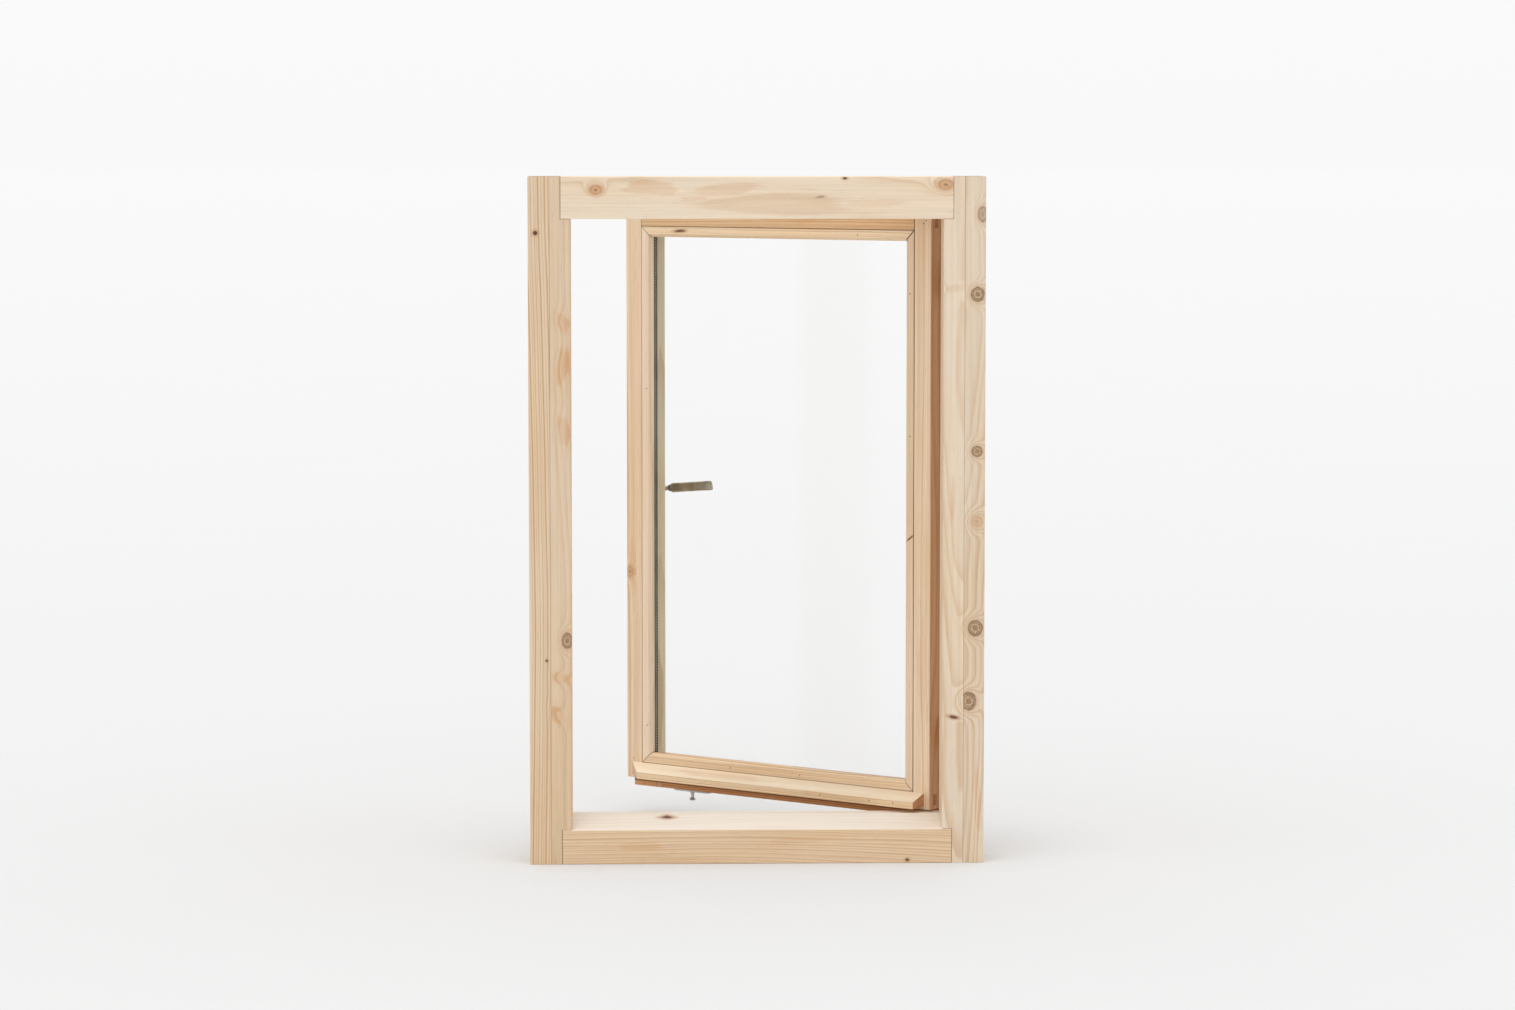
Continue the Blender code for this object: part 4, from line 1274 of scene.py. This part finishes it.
@dataclass(frozen=True)
class Hinges:
    """Two drill-in hinges: rounded barrels with a groove, studs, and pins."""

    finish: Finish
    steel: Finish
    swing: Swing
    radius: float = 7.25 * MM
    bore: float = 3.6 * MM
    bore_depth: float = 25 * MM
    dome: float = 2.6 * MM                    # rounding of the barrel's closed end
    groove: float = 0.5 * MM
    stud: float = 3.5 * MM

    def dress(self) -> None:
        """Build both knuckles of each hinge."""
        self.steel.dress("hinge_lower_pin", "hinge_upper_pin")
        for level in ("lower", "upper"):
            for side in ("frame", "sash"):
                self._knuckle(f"hinge_{level}_{side}_knuckle", side)

    def _knuckle(self, node: str, side: str) -> None:
        """Turn a barrel round the hinge line and set its stud into the timber.

        Args:
            node: The CAD node.
            side: Which body it is fixed to.
        """
        axes = self.swing.opened if side == "sash" else Matrix.Identity(4)
        low, high = local_box(node, axes)
        tall = float(high[2] - low[2])
        stud_end = (high - low)[0 if side == "sash" else 1]
        radius = self.radius
        inner = [(self.bore, tall - self.bore_depth), (self.bore, tall)]
        groove = [(radius, 5.2 * MM), (radius - self.groove, 4.9 * MM),
                  (radius - self.groove, 4.3 * MM), (radius, 4.0 * MM)]
        dome = [(r, self.dome - h) for r, h in soft_corner(radius, self.dome, self.dome, 5)]
        profile = inner + [(radius - 0.4 * MM, tall), (radius, tall - 0.4 * MM)] + groove + dome
        barrel = lathe(profile[::-1], 56)
        base = Vector((self.swing.pivot.x, self.swing.pivot.y, float(low[2])))
        if side == "frame":
            turn = Matrix.Translation(base)
        else:
            top = base + Vector((0, 0, tall))
            turn = Matrix.Translation(top) @ Matrix.Rotation(math.pi, 4, "X")
        reach = Vector((-1, 0, 0)) if side == "sash" else Vector((0, -1, 0))
        rod = lathe([(self.stud, radius - 1.5 * MM), (self.stud, stud_end - radius - 0.5 * MM),
                     (self.stud - 0.5 * MM, stud_end - radius)], 32)
        collar = lathe([(self.stud + 1.3 * MM, radius - 0.8 * MM),
                        (self.stud + 1.3 * MM, radius + 0.6 * MM)], 32)
        stem = upright(reach, base + Vector((0, 0, tall / 2)))
        shape = joined(barrel.moved(turn), rod.moved(stem), collar.moved(stem))
        made(node.replace("knuckle", "barrel"), shape.moved(axes), self.finish, side, (node,))


@dataclass(frozen=True)
class StayPlate:
    """The round-ended plate under the sash and the flared peg that a stay hooks on."""

    finish: Finish
    steel: Finish
    swing: Swing

    def dress(self) -> None:
        """Build the plate and peg."""
        low, high = local_box("stay_plate", self.swing.opened)
        middle, half = (low + high) / 2, (high - low) / 2
        turn = np.linspace(-math.pi / 2, math.pi / 2, 13)
        straight = half[0] - half[1]
        end = np.stack([straight + half[1] * np.cos(turn), half[1] * np.sin(turn)], axis=-1)
        outline = np.concatenate([end, -end])
        levels = ((low[2], 0.5 * MM), (low[2] + 0.4 * MM, 0.0), (high[2], 0.0))
        rings = []
        for level, inset in levels:
            ring = outline * (1 - inset / half[1])
            rings.append(np.column_stack([ring[:, 0] + middle[0], ring[:, 1] + middle[1],
                                          np.full(len(ring), level)]))
        made("rounded_stay_plate", loft(np.stack(rings)).moved(self.swing.opened), self.finish,
             "sash", ("stay_plate",))
        low, high = local_box("stay_peg", self.swing.opened)
        top = high[2] - low[2]
        profile = [(4.6, 0.0), (5.5, 0.5), (6.0, 1.3), (5.8, 2.4), (4.4, 3.6), (3.3, 5.2),
                   (3.1, 8.0), (3.1, 12.6), (4.1, 13.0), (4.1, 15.2), (2.4, 15.6)]
        points = [(radius * MM, height * MM) for radius, height in profile] + [(2.4 * MM, top)]
        base = Matrix.Translation(((low[0] + high[0]) / 2, (low[1] + high[1]) / 2, low[2]))
        made("flared_stay_peg", lathe(points, 40).moved(self.swing.opened @ base), self.steel,
             "sash", ("stay_peg",))


# ------------------------------------------------------------------ glass unit and seal

def frame_loop(half: float, low: float, high: float) -> np.ndarray:
    """List the corners of an upright rectangle in order.

    Args:
        half: Half its width.
        low: Its foot.
        high: Its top.

    Returns:
        Four corners as X and Z, then the diagonal direction at each as two more columns.
    """
    return np.array([(-half, low, -1, -1), (half, low, 1, -1), (half, high, 1, 1),
                     (-half, high, -1, 1)], dtype=float)


def mitred_sweep(loop: np.ndarray, section: np.ndarray, depth: float) -> Shape:
    """Carry a section round a rectangle with mitred corners.

    Section points are (outwards, into the depth); each corner moves one along its diagonal.

    Args:
        loop: Corners from frame_loop.
        section: The closed section.
        depth: Y of the section's origin.

    Returns:
        The closed ring.
    """
    count = len(section)
    out, deep = section[:, 0], section[:, 1] + depth
    rings = np.stack([loop[:, None, 0] + out * loop[:, None, 2], np.broadcast_to(deep, (4, count)),
                      loop[:, None, 1] + out * loop[:, None, 3]], axis=-1)
    skin = loft(np.concatenate([rings, rings[:1]]), ends=False)
    quads = skin.faces[0]
    quads = np.where(quads >= 4 * count, quads - 4 * count, quads)
    return Shape(rings.reshape(-1, 3), (quads,))


@dataclass(frozen=True)
class GlassUnit:
    """Two panes, a punched spacer bar with its edge seal, and the blocks that carry them."""

    glass: Finish
    bar: Finish
    holes: Finish
    sealant: Finish
    blocks: Finish
    swing: Swing
    pitch: float = 5.1 * MM
    hole: float = 1.15 * MM
    bar_width: float = 7.5 * MM

    def dress(self) -> None:
        """Finish the CAD panes and blocks, and build the punched holes of the spacer."""
        self.glass.dress("outer_pane", "inner_pane")
        self.bar.dress("spacer_bar")
        self.sealant.dress("edge_sealant")
        for edge in ("bottom", "side"):
            self.blocks.dress(f"glazing_block_{edge}_lock", f"glazing_block_{edge}_hinge")
        low, high = local_box("spacer_bar", self.swing.opened)
        sides, width = 10, self.bar_width
        half, foot, top = high[0] - width, low[2] + width, high[2] - width
        depth = (low[1] + high[1]) / 2
        angle = np.linspace(0, 2 * math.pi, sides, endpoint=False)
        disc = [np.stack([r * np.cos(angle), r * np.sin(angle), np.full(sides, h)], axis=-1)
                for r, h in ((self.hole, -0.05 * MM), (self.hole * 0.8, 0.14 * MM))]
        dimple = loft(np.stack(disc))
        runs = ((Vector((1, 0, 0)), -half, foot, top), (Vector((-1, 0, 0)), half, foot, top),
                (Vector((0, 0, 1)), foot, -half, half), (Vector((0, 0, -1)), top, -half, half))
        shapes = []
        for facing, level, start, stop in runs:
            steps = np.arange(start + self.pitch, stop - self.pitch / 2, self.pitch)
            fixed = np.full(len(steps), level)
            deep = np.full(len(steps), depth)
            across = (fixed, deep, steps) if facing.x else (steps, deep, fixed)
            turned = dimple.moved(upright(facing, Vector((0, 0, 0))))
            shapes.append(turned.repeated(np.stack(across, axis=-1)))
        made("spacer_holes", joined(*shapes).moved(self.swing.opened), self.holes, "sash")


@dataclass(frozen=True)
class WeatherSeal:
    """A hollow-looking bulb seal with a straight stem, swept round the sash's overlap."""

    finish: Finish
    swing: Swing
    half_width: float = 2.5 * MM

    def dress(self) -> None:
        """Sweep a bulb, lip and stem section round the sash."""
        low, high = local_box("weather_seal", self.swing.opened)
        section = np.array([(-1.0, 3.4), (-1.0, 1.4), (-2.4, 1.2), (-2.5, 0.5), (-2.1, 0.12),
                            (-1.2, 0.0), (0.2, 0.25), (1.2, 0.0), (2.1, 0.12), (2.5, 0.5),
                            (2.4, 1.2), (1.0, 1.4), (1.0, 3.4)]) * MM
        middle = self.half_width
        loop = frame_loop(high[0] - middle, low[2] + middle, high[2] - middle)
        shape = mitred_sweep(loop, section, low[1])
        made("bulb_seal", shape.moved(self.swing.opened), self.finish, "sash", ("weather_seal",))


# Nail heads on the shut sash: X and Z.
NAILS = ((-0.286, 0.801), (-0.286, 0.176), (0.288, 0.988), (0.289, 0.737), (-0.200, 1.091),
         (0.178, 1.090), (-0.098, 0.113), (0.055, 0.113), (0.316, 1.112), (0.322, 1.117),
         (-0.317, 0.112), (0.318, 0.088))
BAR_NAILS = ((0.123, 0.0885), (0.278, 0.0885), (0.228, 0.0885))


@dataclass(frozen=True)
class Brads:
    """Small nail heads sunk in the beads, weather bar and sash joints."""

    finish: Finish
    swing: Swing
    radius: float = 1.1 * MM

    def dress(self) -> None:
        """Build every nail head on the weather side."""
        front = local_box("sash_bottom_rail", self.swing.opened)[0][1]
        nose = local_box("weather_bar", self.swing.opened)[0][1]
        spots = [(x, front, z) for x, z in NAILS] + [(x, nose, z) for x, z in BAR_NAILS]
        profile = [(self.radius * 0.7, -0.6 * MM), (self.radius, -0.1 * MM),
                   (self.radius, 0.06 * MM), (self.radius * 0.75, 0.12 * MM)]
        head = lathe(profile, 16).moved(upright(Vector((0, -1, 0)), Vector((0, 0, 0))))
        made("nail_heads", head.repeated(np.array(spots)).moved(self.swing.opened), self.finish,
             "sash")


# ------------------------------------------------------------------ the timber

def frame_timber() -> dict[str, Softwood]:
    """Describe the fixed frame's four members.

    Returns:
        Member by CAD node name.
    """
    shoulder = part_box("frame_right_stile")[1][0] - SHOULDER
    # Dark lines at the shoulders, where head and sill meet the stiles: painted shade in the joint
    # gap, with dirt.
    ends = (Line(1, 0, -shoulder, 0.95, 1.7 * MM), Line(1, 0, shoulder, 0.9, 1.5 * MM))
    slot = "frame_timber"
    left = Softwood(
        "spruce_frame_left", slot, True, srgb(236, 211, 180), srgb(196, 150, 104),
        pith=(-0.66, 0.03), ring=4.4 * MM, taper=0.004, wander=14 * MM, contrast=1.0, seed=3.1,
        seam=-0.358, seam_step=-0.30, seam_calm=0.6,
        marks=(
            Mark(MarkKind.DOT, -0.382, 1.098, 0.009, 0.009, strength=1.1),
            Mark(MarkKind.BLUSH, -0.336, 0.945, 0.022, 0.030, 20),
            Mark(MarkKind.BLUSH, -0.334, 0.868, 0.024, 0.062, -12, 1.2),
            Mark(MarkKind.BLUSH, -0.335, 0.760, 0.020, 0.052, 8),
            Mark(MarkKind.KNOT, -0.3295, 0.392, 0.017, 0.026),
            Mark(MarkKind.DOT, -0.365, 0.357, 0.005, 0.005),
            Mark(MarkKind.BLUSH, -0.3405, 0.326, 0.030, 0.020, -20, 0.9),
            Mark(MarkKind.BLUSH, -0.346, 0.262, 0.022, 0.036, 30),
        ))
    right = Softwood(
        "spruce_frame_right", slot, True, srgb(240, 221, 197), srgb(212, 172, 128),
        pith=(0.372, 0.075), ring=4.6 * MM, taper=-0.014, wander=22 * MM, contrast=0.7, seed=8.7,
        seam=0.359,
        marks=(
            Mark(MarkKind.KNOT, 0.381, 0.992, 0.022, 0.024),
            Mark(MarkKind.KNOT, 0.381, 0.720, 0.018, 0.018),
            Mark(MarkKind.PALE_KNOT, 0.381, 0.598, 0.018, 0.020, strength=0.6),
            Mark(MarkKind.KNOT, 0.379, 0.412, 0.024, 0.026),
            Mark(MarkKind.KNOT, 0.368, 0.284, 0.024, 0.030),
            Mark(MarkKind.LEAF, 0.342, 0.256, 0.020, 0.007, -12),
            Mark(MarkKind.KNOT, 0.389, 1.130, 0.016, 0.026, strength=0.7),
            Mark(MarkKind.BLUSH, 0.342, 1.002, 0.034, 0.014, 4, 0.8),
            Mark(MarkKind.BLUSH, 0.383, 0.120, 0.010, 0.150, 2, 0.8),
            Mark(MarkKind.BLUSH, 0.340, 0.640, 0.010, 0.090, -2, 0.5),
        ))
    head = Softwood(
        "spruce_frame_head", slot, False, srgb(244, 225, 200), srgb(214, 172, 128),
        pith=(1.150, 0.07), ring=5.2 * MM, taper=0.012, wander=22 * MM, contrast=0.7, seed=5.2,
        lines=ends,
        marks=(
            Mark(MarkKind.PALE_KNOT, -0.278, 1.172, 0.021, 0.015, strength=1.3),
            Mark(MarkKind.PALE_KNOT, 0.325, 1.181, 0.026, 0.016, strength=1.2),
            Mark(MarkKind.BLUSH, -0.180, 1.176, 0.085, 0.022, -6, 1.15),
            Mark(MarkKind.BLUSH, -0.055, 1.173, 0.120, 0.020, 4, 1.1),
            Mark(MarkKind.DOT, 0.151, 1.192, 0.009, 0.005),
            Mark(MarkKind.LEAF, 0.109, 1.160, 0.016, 0.004, 6, 0.5),
            Mark(MarkKind.BLUSH, 0.215, 1.150, 0.110, 0.010, 2, 0.6),
        ))
    sill = Softwood(
        "spruce_frame_sill", slot, False, srgb(238, 211, 178), srgb(206, 160, 112),
        pith=(-0.035, -0.03), ring=4.9 * MM, taper=0.012, wander=20 * MM, contrast=0.7, seed=12.4,
        lines=ends,
        marks=(
            Mark(MarkKind.DOT, 0.262, 0.0055, 0.008, 0.006),
            Mark(MarkKind.BLUSH, -0.200, 0.030, 0.090, 0.014, -4, 0.8),
            Mark(MarkKind.BLUSH, 0.090, 0.042, 0.130, 0.012, 3, 0.6),
            Mark(MarkKind.LEAF, -0.157, 0.076, 0.030, 0.026, 0, 1.1, deep=-0.002),
        # Painted light: the sill's upward faces are lightened as if lit from above.
        ), painted_top_light=srgb(245, 243, 238))
    return {"frame_left_stile": left, "frame_right_stile": right, "frame_head": head,
            "frame_sill": sill}


def sash_timber(swing: Swing) -> dict[str, Softwood]:
    """Describe the sash members, beads and weather bar.

    Args:
        swing: Where the sash stands.

    Returns:
        Member by CAD node name.
    """
    slot, bead = "sash_timber", "bead_timber"
    corners = [local_box(node, swing.opened) for node in ("bead_left", "bead_right")]
    lock_x, hinge_x = corners[0][0][0], corners[1][1][0]
    foot, top = corners[0][0][2], corners[0][1][2]
    # Painted shade: dark lines in the gaps along the beads' outer edges and in their mitres.
    bead_edge_shades = {"left": Line(1, 0, lock_x, 0.5), "right": Line(1, 0, hinge_x, 0.75),
             "bottom": Line(0, 1, foot, 0.45), "top": Line(0, 1, top, 0.7)}
    mitres = {("left", "bottom"): Line(1, -1, lock_x - foot, 0.8, 1.5 * MM),
              ("right", "bottom"): Line(1, 1, hinge_x + foot, 0.8, 1.5 * MM),
              ("left", "top"): Line(1, 1, lock_x + top, 0.8, 1.5 * MM),
              ("right", "top"): Line(1, -1, hinge_x - top, 1.0, 2.6 * MM)}

    def edges(side: str) -> tuple[Line, ...]:
        """List the lines on one bead.

        Args:
            side: The bead's side.

        Returns:
            The painted shade lines of its outer edge and its two mitres.
        """
        return (bead_edge_shades[side],) + tuple(line for pair, line in mitres.items() if side in pair)

    plain = Softwood("spruce_sash_left", slot, True, srgb(244, 217, 184), srgb(208, 164, 118),
                     pith=(-0.60, 0.06), ring=3.1 * MM, taper=0.004, wander=10 * MM, contrast=0.8,
                     # Painted shade: deep weather-facing steps are darkened and warmed, and the
                     # faces looking to the hinge side are tinted darker.
                     seed=21.0, painted_shade_from=50 * MM, face=17.5 * MM, painted_side_shade=srgb(232, 243, 236),
                     lines=(bead_edge_shades["left"],), marks=(
                         Mark(MarkKind.PALE_KNOT, -0.325, 0.460, 0.014, 0.020, strength=1.2),
                         Mark(MarkKind.BLUSH, -0.318, 0.480, 0.014, 0.120, 3, 0.7),
                     ))
    right = replace(plain, name="spruce_sash_right", light=srgb(247, 222, 192),
                    dark=srgb(208, 166, 122), pith=(0.05, 0.08), seed=27.0, contrast=0.5,
                    # Painted shade on the faces looking to the hinge side.
                    painted_side_shade=srgb(238, 217, 193),
                    lines=(bead_edge_shades["right"],), marks=(
                        Mark(MarkKind.BLUSH, 0.317, 0.330, 0.020, 0.190, 1, 0.5),
                    ))
    top = replace(plain, name="spruce_sash_top", upright=False, painted_side_shade=None,
                  light=srgb(235, 197, 152),
                  dark=srgb(190, 140, 92), pith=(0.95, 0.08), ring=3.4 * MM, contrast=0.95,
                  seed=33.0, lines=(bead_edge_shades["top"], Line(1, 0, lock_x), Line(1, 0, hinge_x)),
                  marks=(Mark(MarkKind.BLUSH, 0.05, 1.118, 0.2, 0.012, 0, 0.9),))
    bottom = replace(top, name="spruce_sash_bottom", light=srgb(238, 206, 166),
                     dark=srgb(196, 150, 104), seed=39.0,
                     lines=(bead_edge_shades["bottom"], Line(1, 0, lock_x), Line(1, 0, hinge_x)), marks=())
    bar = replace(plain, name="spruce_weather_bar", upright=False, painted_side_shade=None,
                  light=srgb(250, 222, 184),
                  dark=srgb(206, 160, 108), pith=(-0.06, 0.02), ring=4.2 * MM, contrast=0.9,
                  # Painted light: the bar's upward faces are lightened as if lit from above.
                  seed=45.0, lines=(), painted_top_light=srgb(246, 234, 212), marks=(
                      Mark(MarkKind.BLUSH, -0.10, 0.100, 0.16, 0.016, 0, 0.45),
                      Mark(MarkKind.BLUSH, 0.17, 0.092, 0.20, 0.012, 0, 0.45),
                  ))
    bead_left = replace(plain, name="spruce_bead_left", slot=bead, painted_side_shade=None,
                        light=srgb(250, 229, 206),
                        dark=srgb(220, 184, 142), ring=2.6 * MM, seed=51.0,
                        lines=edges("left"), marks=())
    bead_right = replace(bead_left, name="spruce_bead_right", light=srgb(246, 221, 193),
                         dark=srgb(208, 164, 114), seed=57.0,
                         lines=edges("right"), marks=(
                             Mark(MarkKind.LEAF, 0.290, 0.557, 0.022, 0.0035, 38, 0.9),
                         ))
    bead_top = replace(top, name="spruce_bead_top", slot=bead, light=srgb(253, 229, 196),
                       dark=srgb(214, 170, 122), ring=2.8 * MM, seed=63.0,
                       lines=edges("top"), marks=(
                           Mark(MarkKind.LEAF, -0.210, 1.092, 0.026, 0.006, 4, 1.0),
                       ))
    bead_bottom = replace(bead_top, name="spruce_bead_bottom", light=srgb(244, 220, 190),
                          dark=srgb(204, 160, 112), seed=69.0,
                          lines=edges("bottom"), marks=())
    return {"sash_left_stile": plain, "sash_right_stile": right, "sash_top_rail": top,
            "sash_bottom_rail": bottom, "weather_bar": bar, "bead_left": bead_left,
            "bead_right": bead_right, "bead_top": bead_top, "bead_bottom": bead_bottom}


# ------------------------------------------------------------------ the studio

@dataclass(frozen=True)
class Studio:
    """A pale endless floor, an even bright sky, one soft lamp, and the camera."""

    camera_place: tuple[float, float, float] = (-0.1745, -6.9785, 1.2612)
    camera_turn: float = math.radians(1.4487)
    camera_dip: float = math.radians(4.4723)
    lens: float = 95.41
    shift: float = -0.035
    floor_half: float = 150.0
    floor_tones: tuple[float, float] = (0.724, 0.788)   # near the object, and far away
    sky: tuple[tuple[float, float], ...] = (  # height, from the horizon up, and brightness
        (0.0, 0.945), (0.045, 0.955), (0.12, 0.71), (0.45, 0.69), (0.8, 1.05), (1.0, 1.05))
    lamp_power: float = 0.95
    lamp_spread: float = math.radians(22)
    lamp_aim: tuple[float, float, float] = (0.04, 0.10, -1.0)

    def build(self) -> None:
        """Build everything that isn't the object."""
        bpy.context.scene.view_settings.view_transform = "Standard"
        self._floor()
        self._sky()
        self._lamp()
        self._camera()

    def _floor(self) -> None:
        """Lay the floor as one big square, with a faint unevenness in its finish."""
        graph = Graph("studio_floor")
        point = graph.object_place()
        far = graph.node("VectorMath", {0: point}, "Value", operation="LENGTH")
        cloud = graph.noise(point, (1.2, 1.2, 1.2), 3.0, 0.5)
        near, away = self.floor_tones
        level = graph.math("DIVIDE", far, graph.total(far, 5.0))
        tone = graph.total(graph.math("MULTIPLY_ADD", level, away - near, near),
                           graph.math("MULTIPLY_ADD", cloud, 0.008, -0.004))
        colour = graph.node("CombineColor", {0: tone, 1: tone, 2: tone})
        graph.surface(Base_Color=colour, Roughness=0.9, Specular_IOR_Level=0.0)
        half = self.floor_half
        mesh = bpy.data.meshes.new("studio_floor")
        mesh.from_pydata([(-half, -half, 0), (half, -half, 0), (half, half, 0), (-half, half, 0)],
                         [], [(0, 1, 2, 3)])
        mesh.materials.append(graph.material)
        floor = bpy.data.objects.new("studio_floor", mesh)
        floor.location.z = float(CAD_BOX[0][2]) - 0.2 * MM
        bpy.context.scene.collection.objects.link(floor)

    def _sky(self) -> None:
        """Light the set by a grey ramp from the horizon up to a brighter zenith."""
        world = bpy.data.worlds.new("studio_sky")
        bpy.context.scene.world = world
        world.use_nodes = True
        nodes, links = world.node_tree.nodes, world.node_tree.links
        place = nodes.new("ShaderNodeTexCoord")
        split = nodes.new("ShaderNodeSeparateXYZ")
        ramp = nodes.new("ShaderNodeValToRGB")
        links.new(place.outputs["Generated"], split.inputs[0])
        links.new(split.outputs["Z"], ramp.inputs[0])
        while len(ramp.color_ramp.elements) < len(self.sky):
            ramp.color_ramp.elements.new(0.5)
        for element, (level, tone) in zip(ramp.color_ramp.elements, self.sky):
            element.position = level
            element.color = (tone, tone, tone, 1)
        links.new(ramp.outputs[0], nodes["Background"].inputs["Color"])

    def _lamp(self) -> None:
        """Hang one soft sun almost overhead."""
        data = bpy.data.lights.new("soft_lamp", "SUN")
        data.energy = self.lamp_power
        data.angle = self.lamp_spread
        lamp = bpy.data.objects.new("soft_lamp", data)
        lamp.rotation_euler = Vector(self.lamp_aim).to_track_quat("-Z", "Y").to_euler()
        bpy.context.scene.collection.objects.link(lamp)

    def _camera(self) -> None:
        """Stand the camera where the view is taken from."""
        data = bpy.data.cameras.new("camera")
        data.lens = self.lens
        data.sensor_width = 36
        data.shift_y = self.shift
        data.clip_end = 1000
        camera = bpy.data.objects.new("camera", data)
        camera.location = self.camera_place
        camera.rotation_euler = (math.pi / 2 - self.camera_dip, 0, -self.camera_turn)
        bpy.context.scene.collection.objects.link(camera)
        bpy.context.scene.camera = camera


# ------------------------------------------------------------------ the whole

@dataclass(frozen=True)
class Finishes:
    """The metals, plastics and glass that several pieces share."""

    nickel: Finish
    dark_nickel: Finish
    zinc: Finish
    steel: Finish
    spacer: Finish
    spacer_hole: Finish
    nail: Finish
    sealant: Finish
    block: Finish
    gasket: Finish
    glass: Finish

    @classmethod
    def make(cls, swing: Swing) -> "Finishes":
        """Make every shared finish.

        Args:
            swing: The sash's swing, for brushing that follows the lock edge.

        Returns:
            The finishes.
        """
        return cls(
            nickel=Metal("satin_nickel", "satin_nickel", srgb(188, 177, 151), srgb(152, 137, 110),
                         0.30, (900, 900, 60), stain=0.35).finish(),
            # Painted reflection: a darker nickel for the collar, standing in for the dark
            # reflections in its chrome rings.
            dark_nickel=Metal("dark_nickel", "satin_nickel", srgb(116, 104, 88), srgb(70, 60, 50),
                              0.34, (500, 500, 500)).finish(),
            zinc=Metal("zinc_plate", "zinc_plate", srgb(198, 198, 194), srgb(180, 179, 173), 0.34,
                       (900, 900, 28)).finish(swing),
            steel=Metal("bright_steel", "bright_steel", srgb(210, 210, 208), srgb(170, 168, 164),
                        0.26, (700, 700, 700)).finish(),
            spacer=Metal("spacer_bar", "spacer_metal", srgb(106, 100, 80), srgb(84, 78, 60), 0.5,
                         (260, 900, 60), metallic=0.35).finish(swing),
            spacer_hole=Metal("spacer_punching", "spacer_metal", srgb(226, 220, 204),
                              srgb(196, 186, 164), 0.45, (300, 300, 300), metallic=0.2).finish(),
            nail=Metal("nail_heads", "bright_steel", srgb(74, 50, 36), srgb(50, 36, 28), 0.5,
                       (900, 900, 900), metallic=0.2).finish(),
            sealant=Compound("edge_sealant", "sealant", srgb(44, 42, 40), srgb(66, 62, 58),
                             0.55).finish(),
            block=Compound("glazing_block", "block_plastic", srgb(106, 124, 150),
                           srgb(124, 140, 162), 0.42).finish(),
            gasket=Compound("brown_gasket", "brown_gasket", srgb(146, 96, 58), srgb(168, 116, 74),
                            0.58).finish(),
            glass=ClearGlass("clear_glass", "clear_glass").finish())


def build_window() -> None:
    """Dress the whole window."""
    swing = Swing.from_record(frame["record"])
    finishes = Finishes.make(swing)
    for node, timber in frame_timber().items():
        timber.finish().dress(node)
    for node, timber in sash_timber(swing).items():
        timber.finish(swing).dress(node)
    GlassUnit(finishes.glass, finishes.spacer, finishes.spacer_hole, finishes.sealant,
              finishes.block, swing).dress()
    WeatherSeal(finishes.gasket, swing).dress()
    Hinges(finishes.zinc, finishes.steel, swing).dress()
    EdgeLock(finishes.zinc, finishes.steel, HexCam(4.5 * MM, 3 * MM, 2 * MM), swing).dress()
    LeverHandle(finishes.nickel, finishes.dark_nickel, finishes.steel, swing).dress()
    StayPlate(finishes.zinc, finishes.steel, swing).dress()
    Screws(finishes.steel, swing).dress()
    Brads(finishes.nail, swing).dress()


def main() -> None:
    """Build the studio and dress the window in it."""
    logging.basicConfig(level=logging.INFO, format="%(name)s: %(message)s")
    Studio().build()
    build_window()


if __name__ == "__main__":
    main()
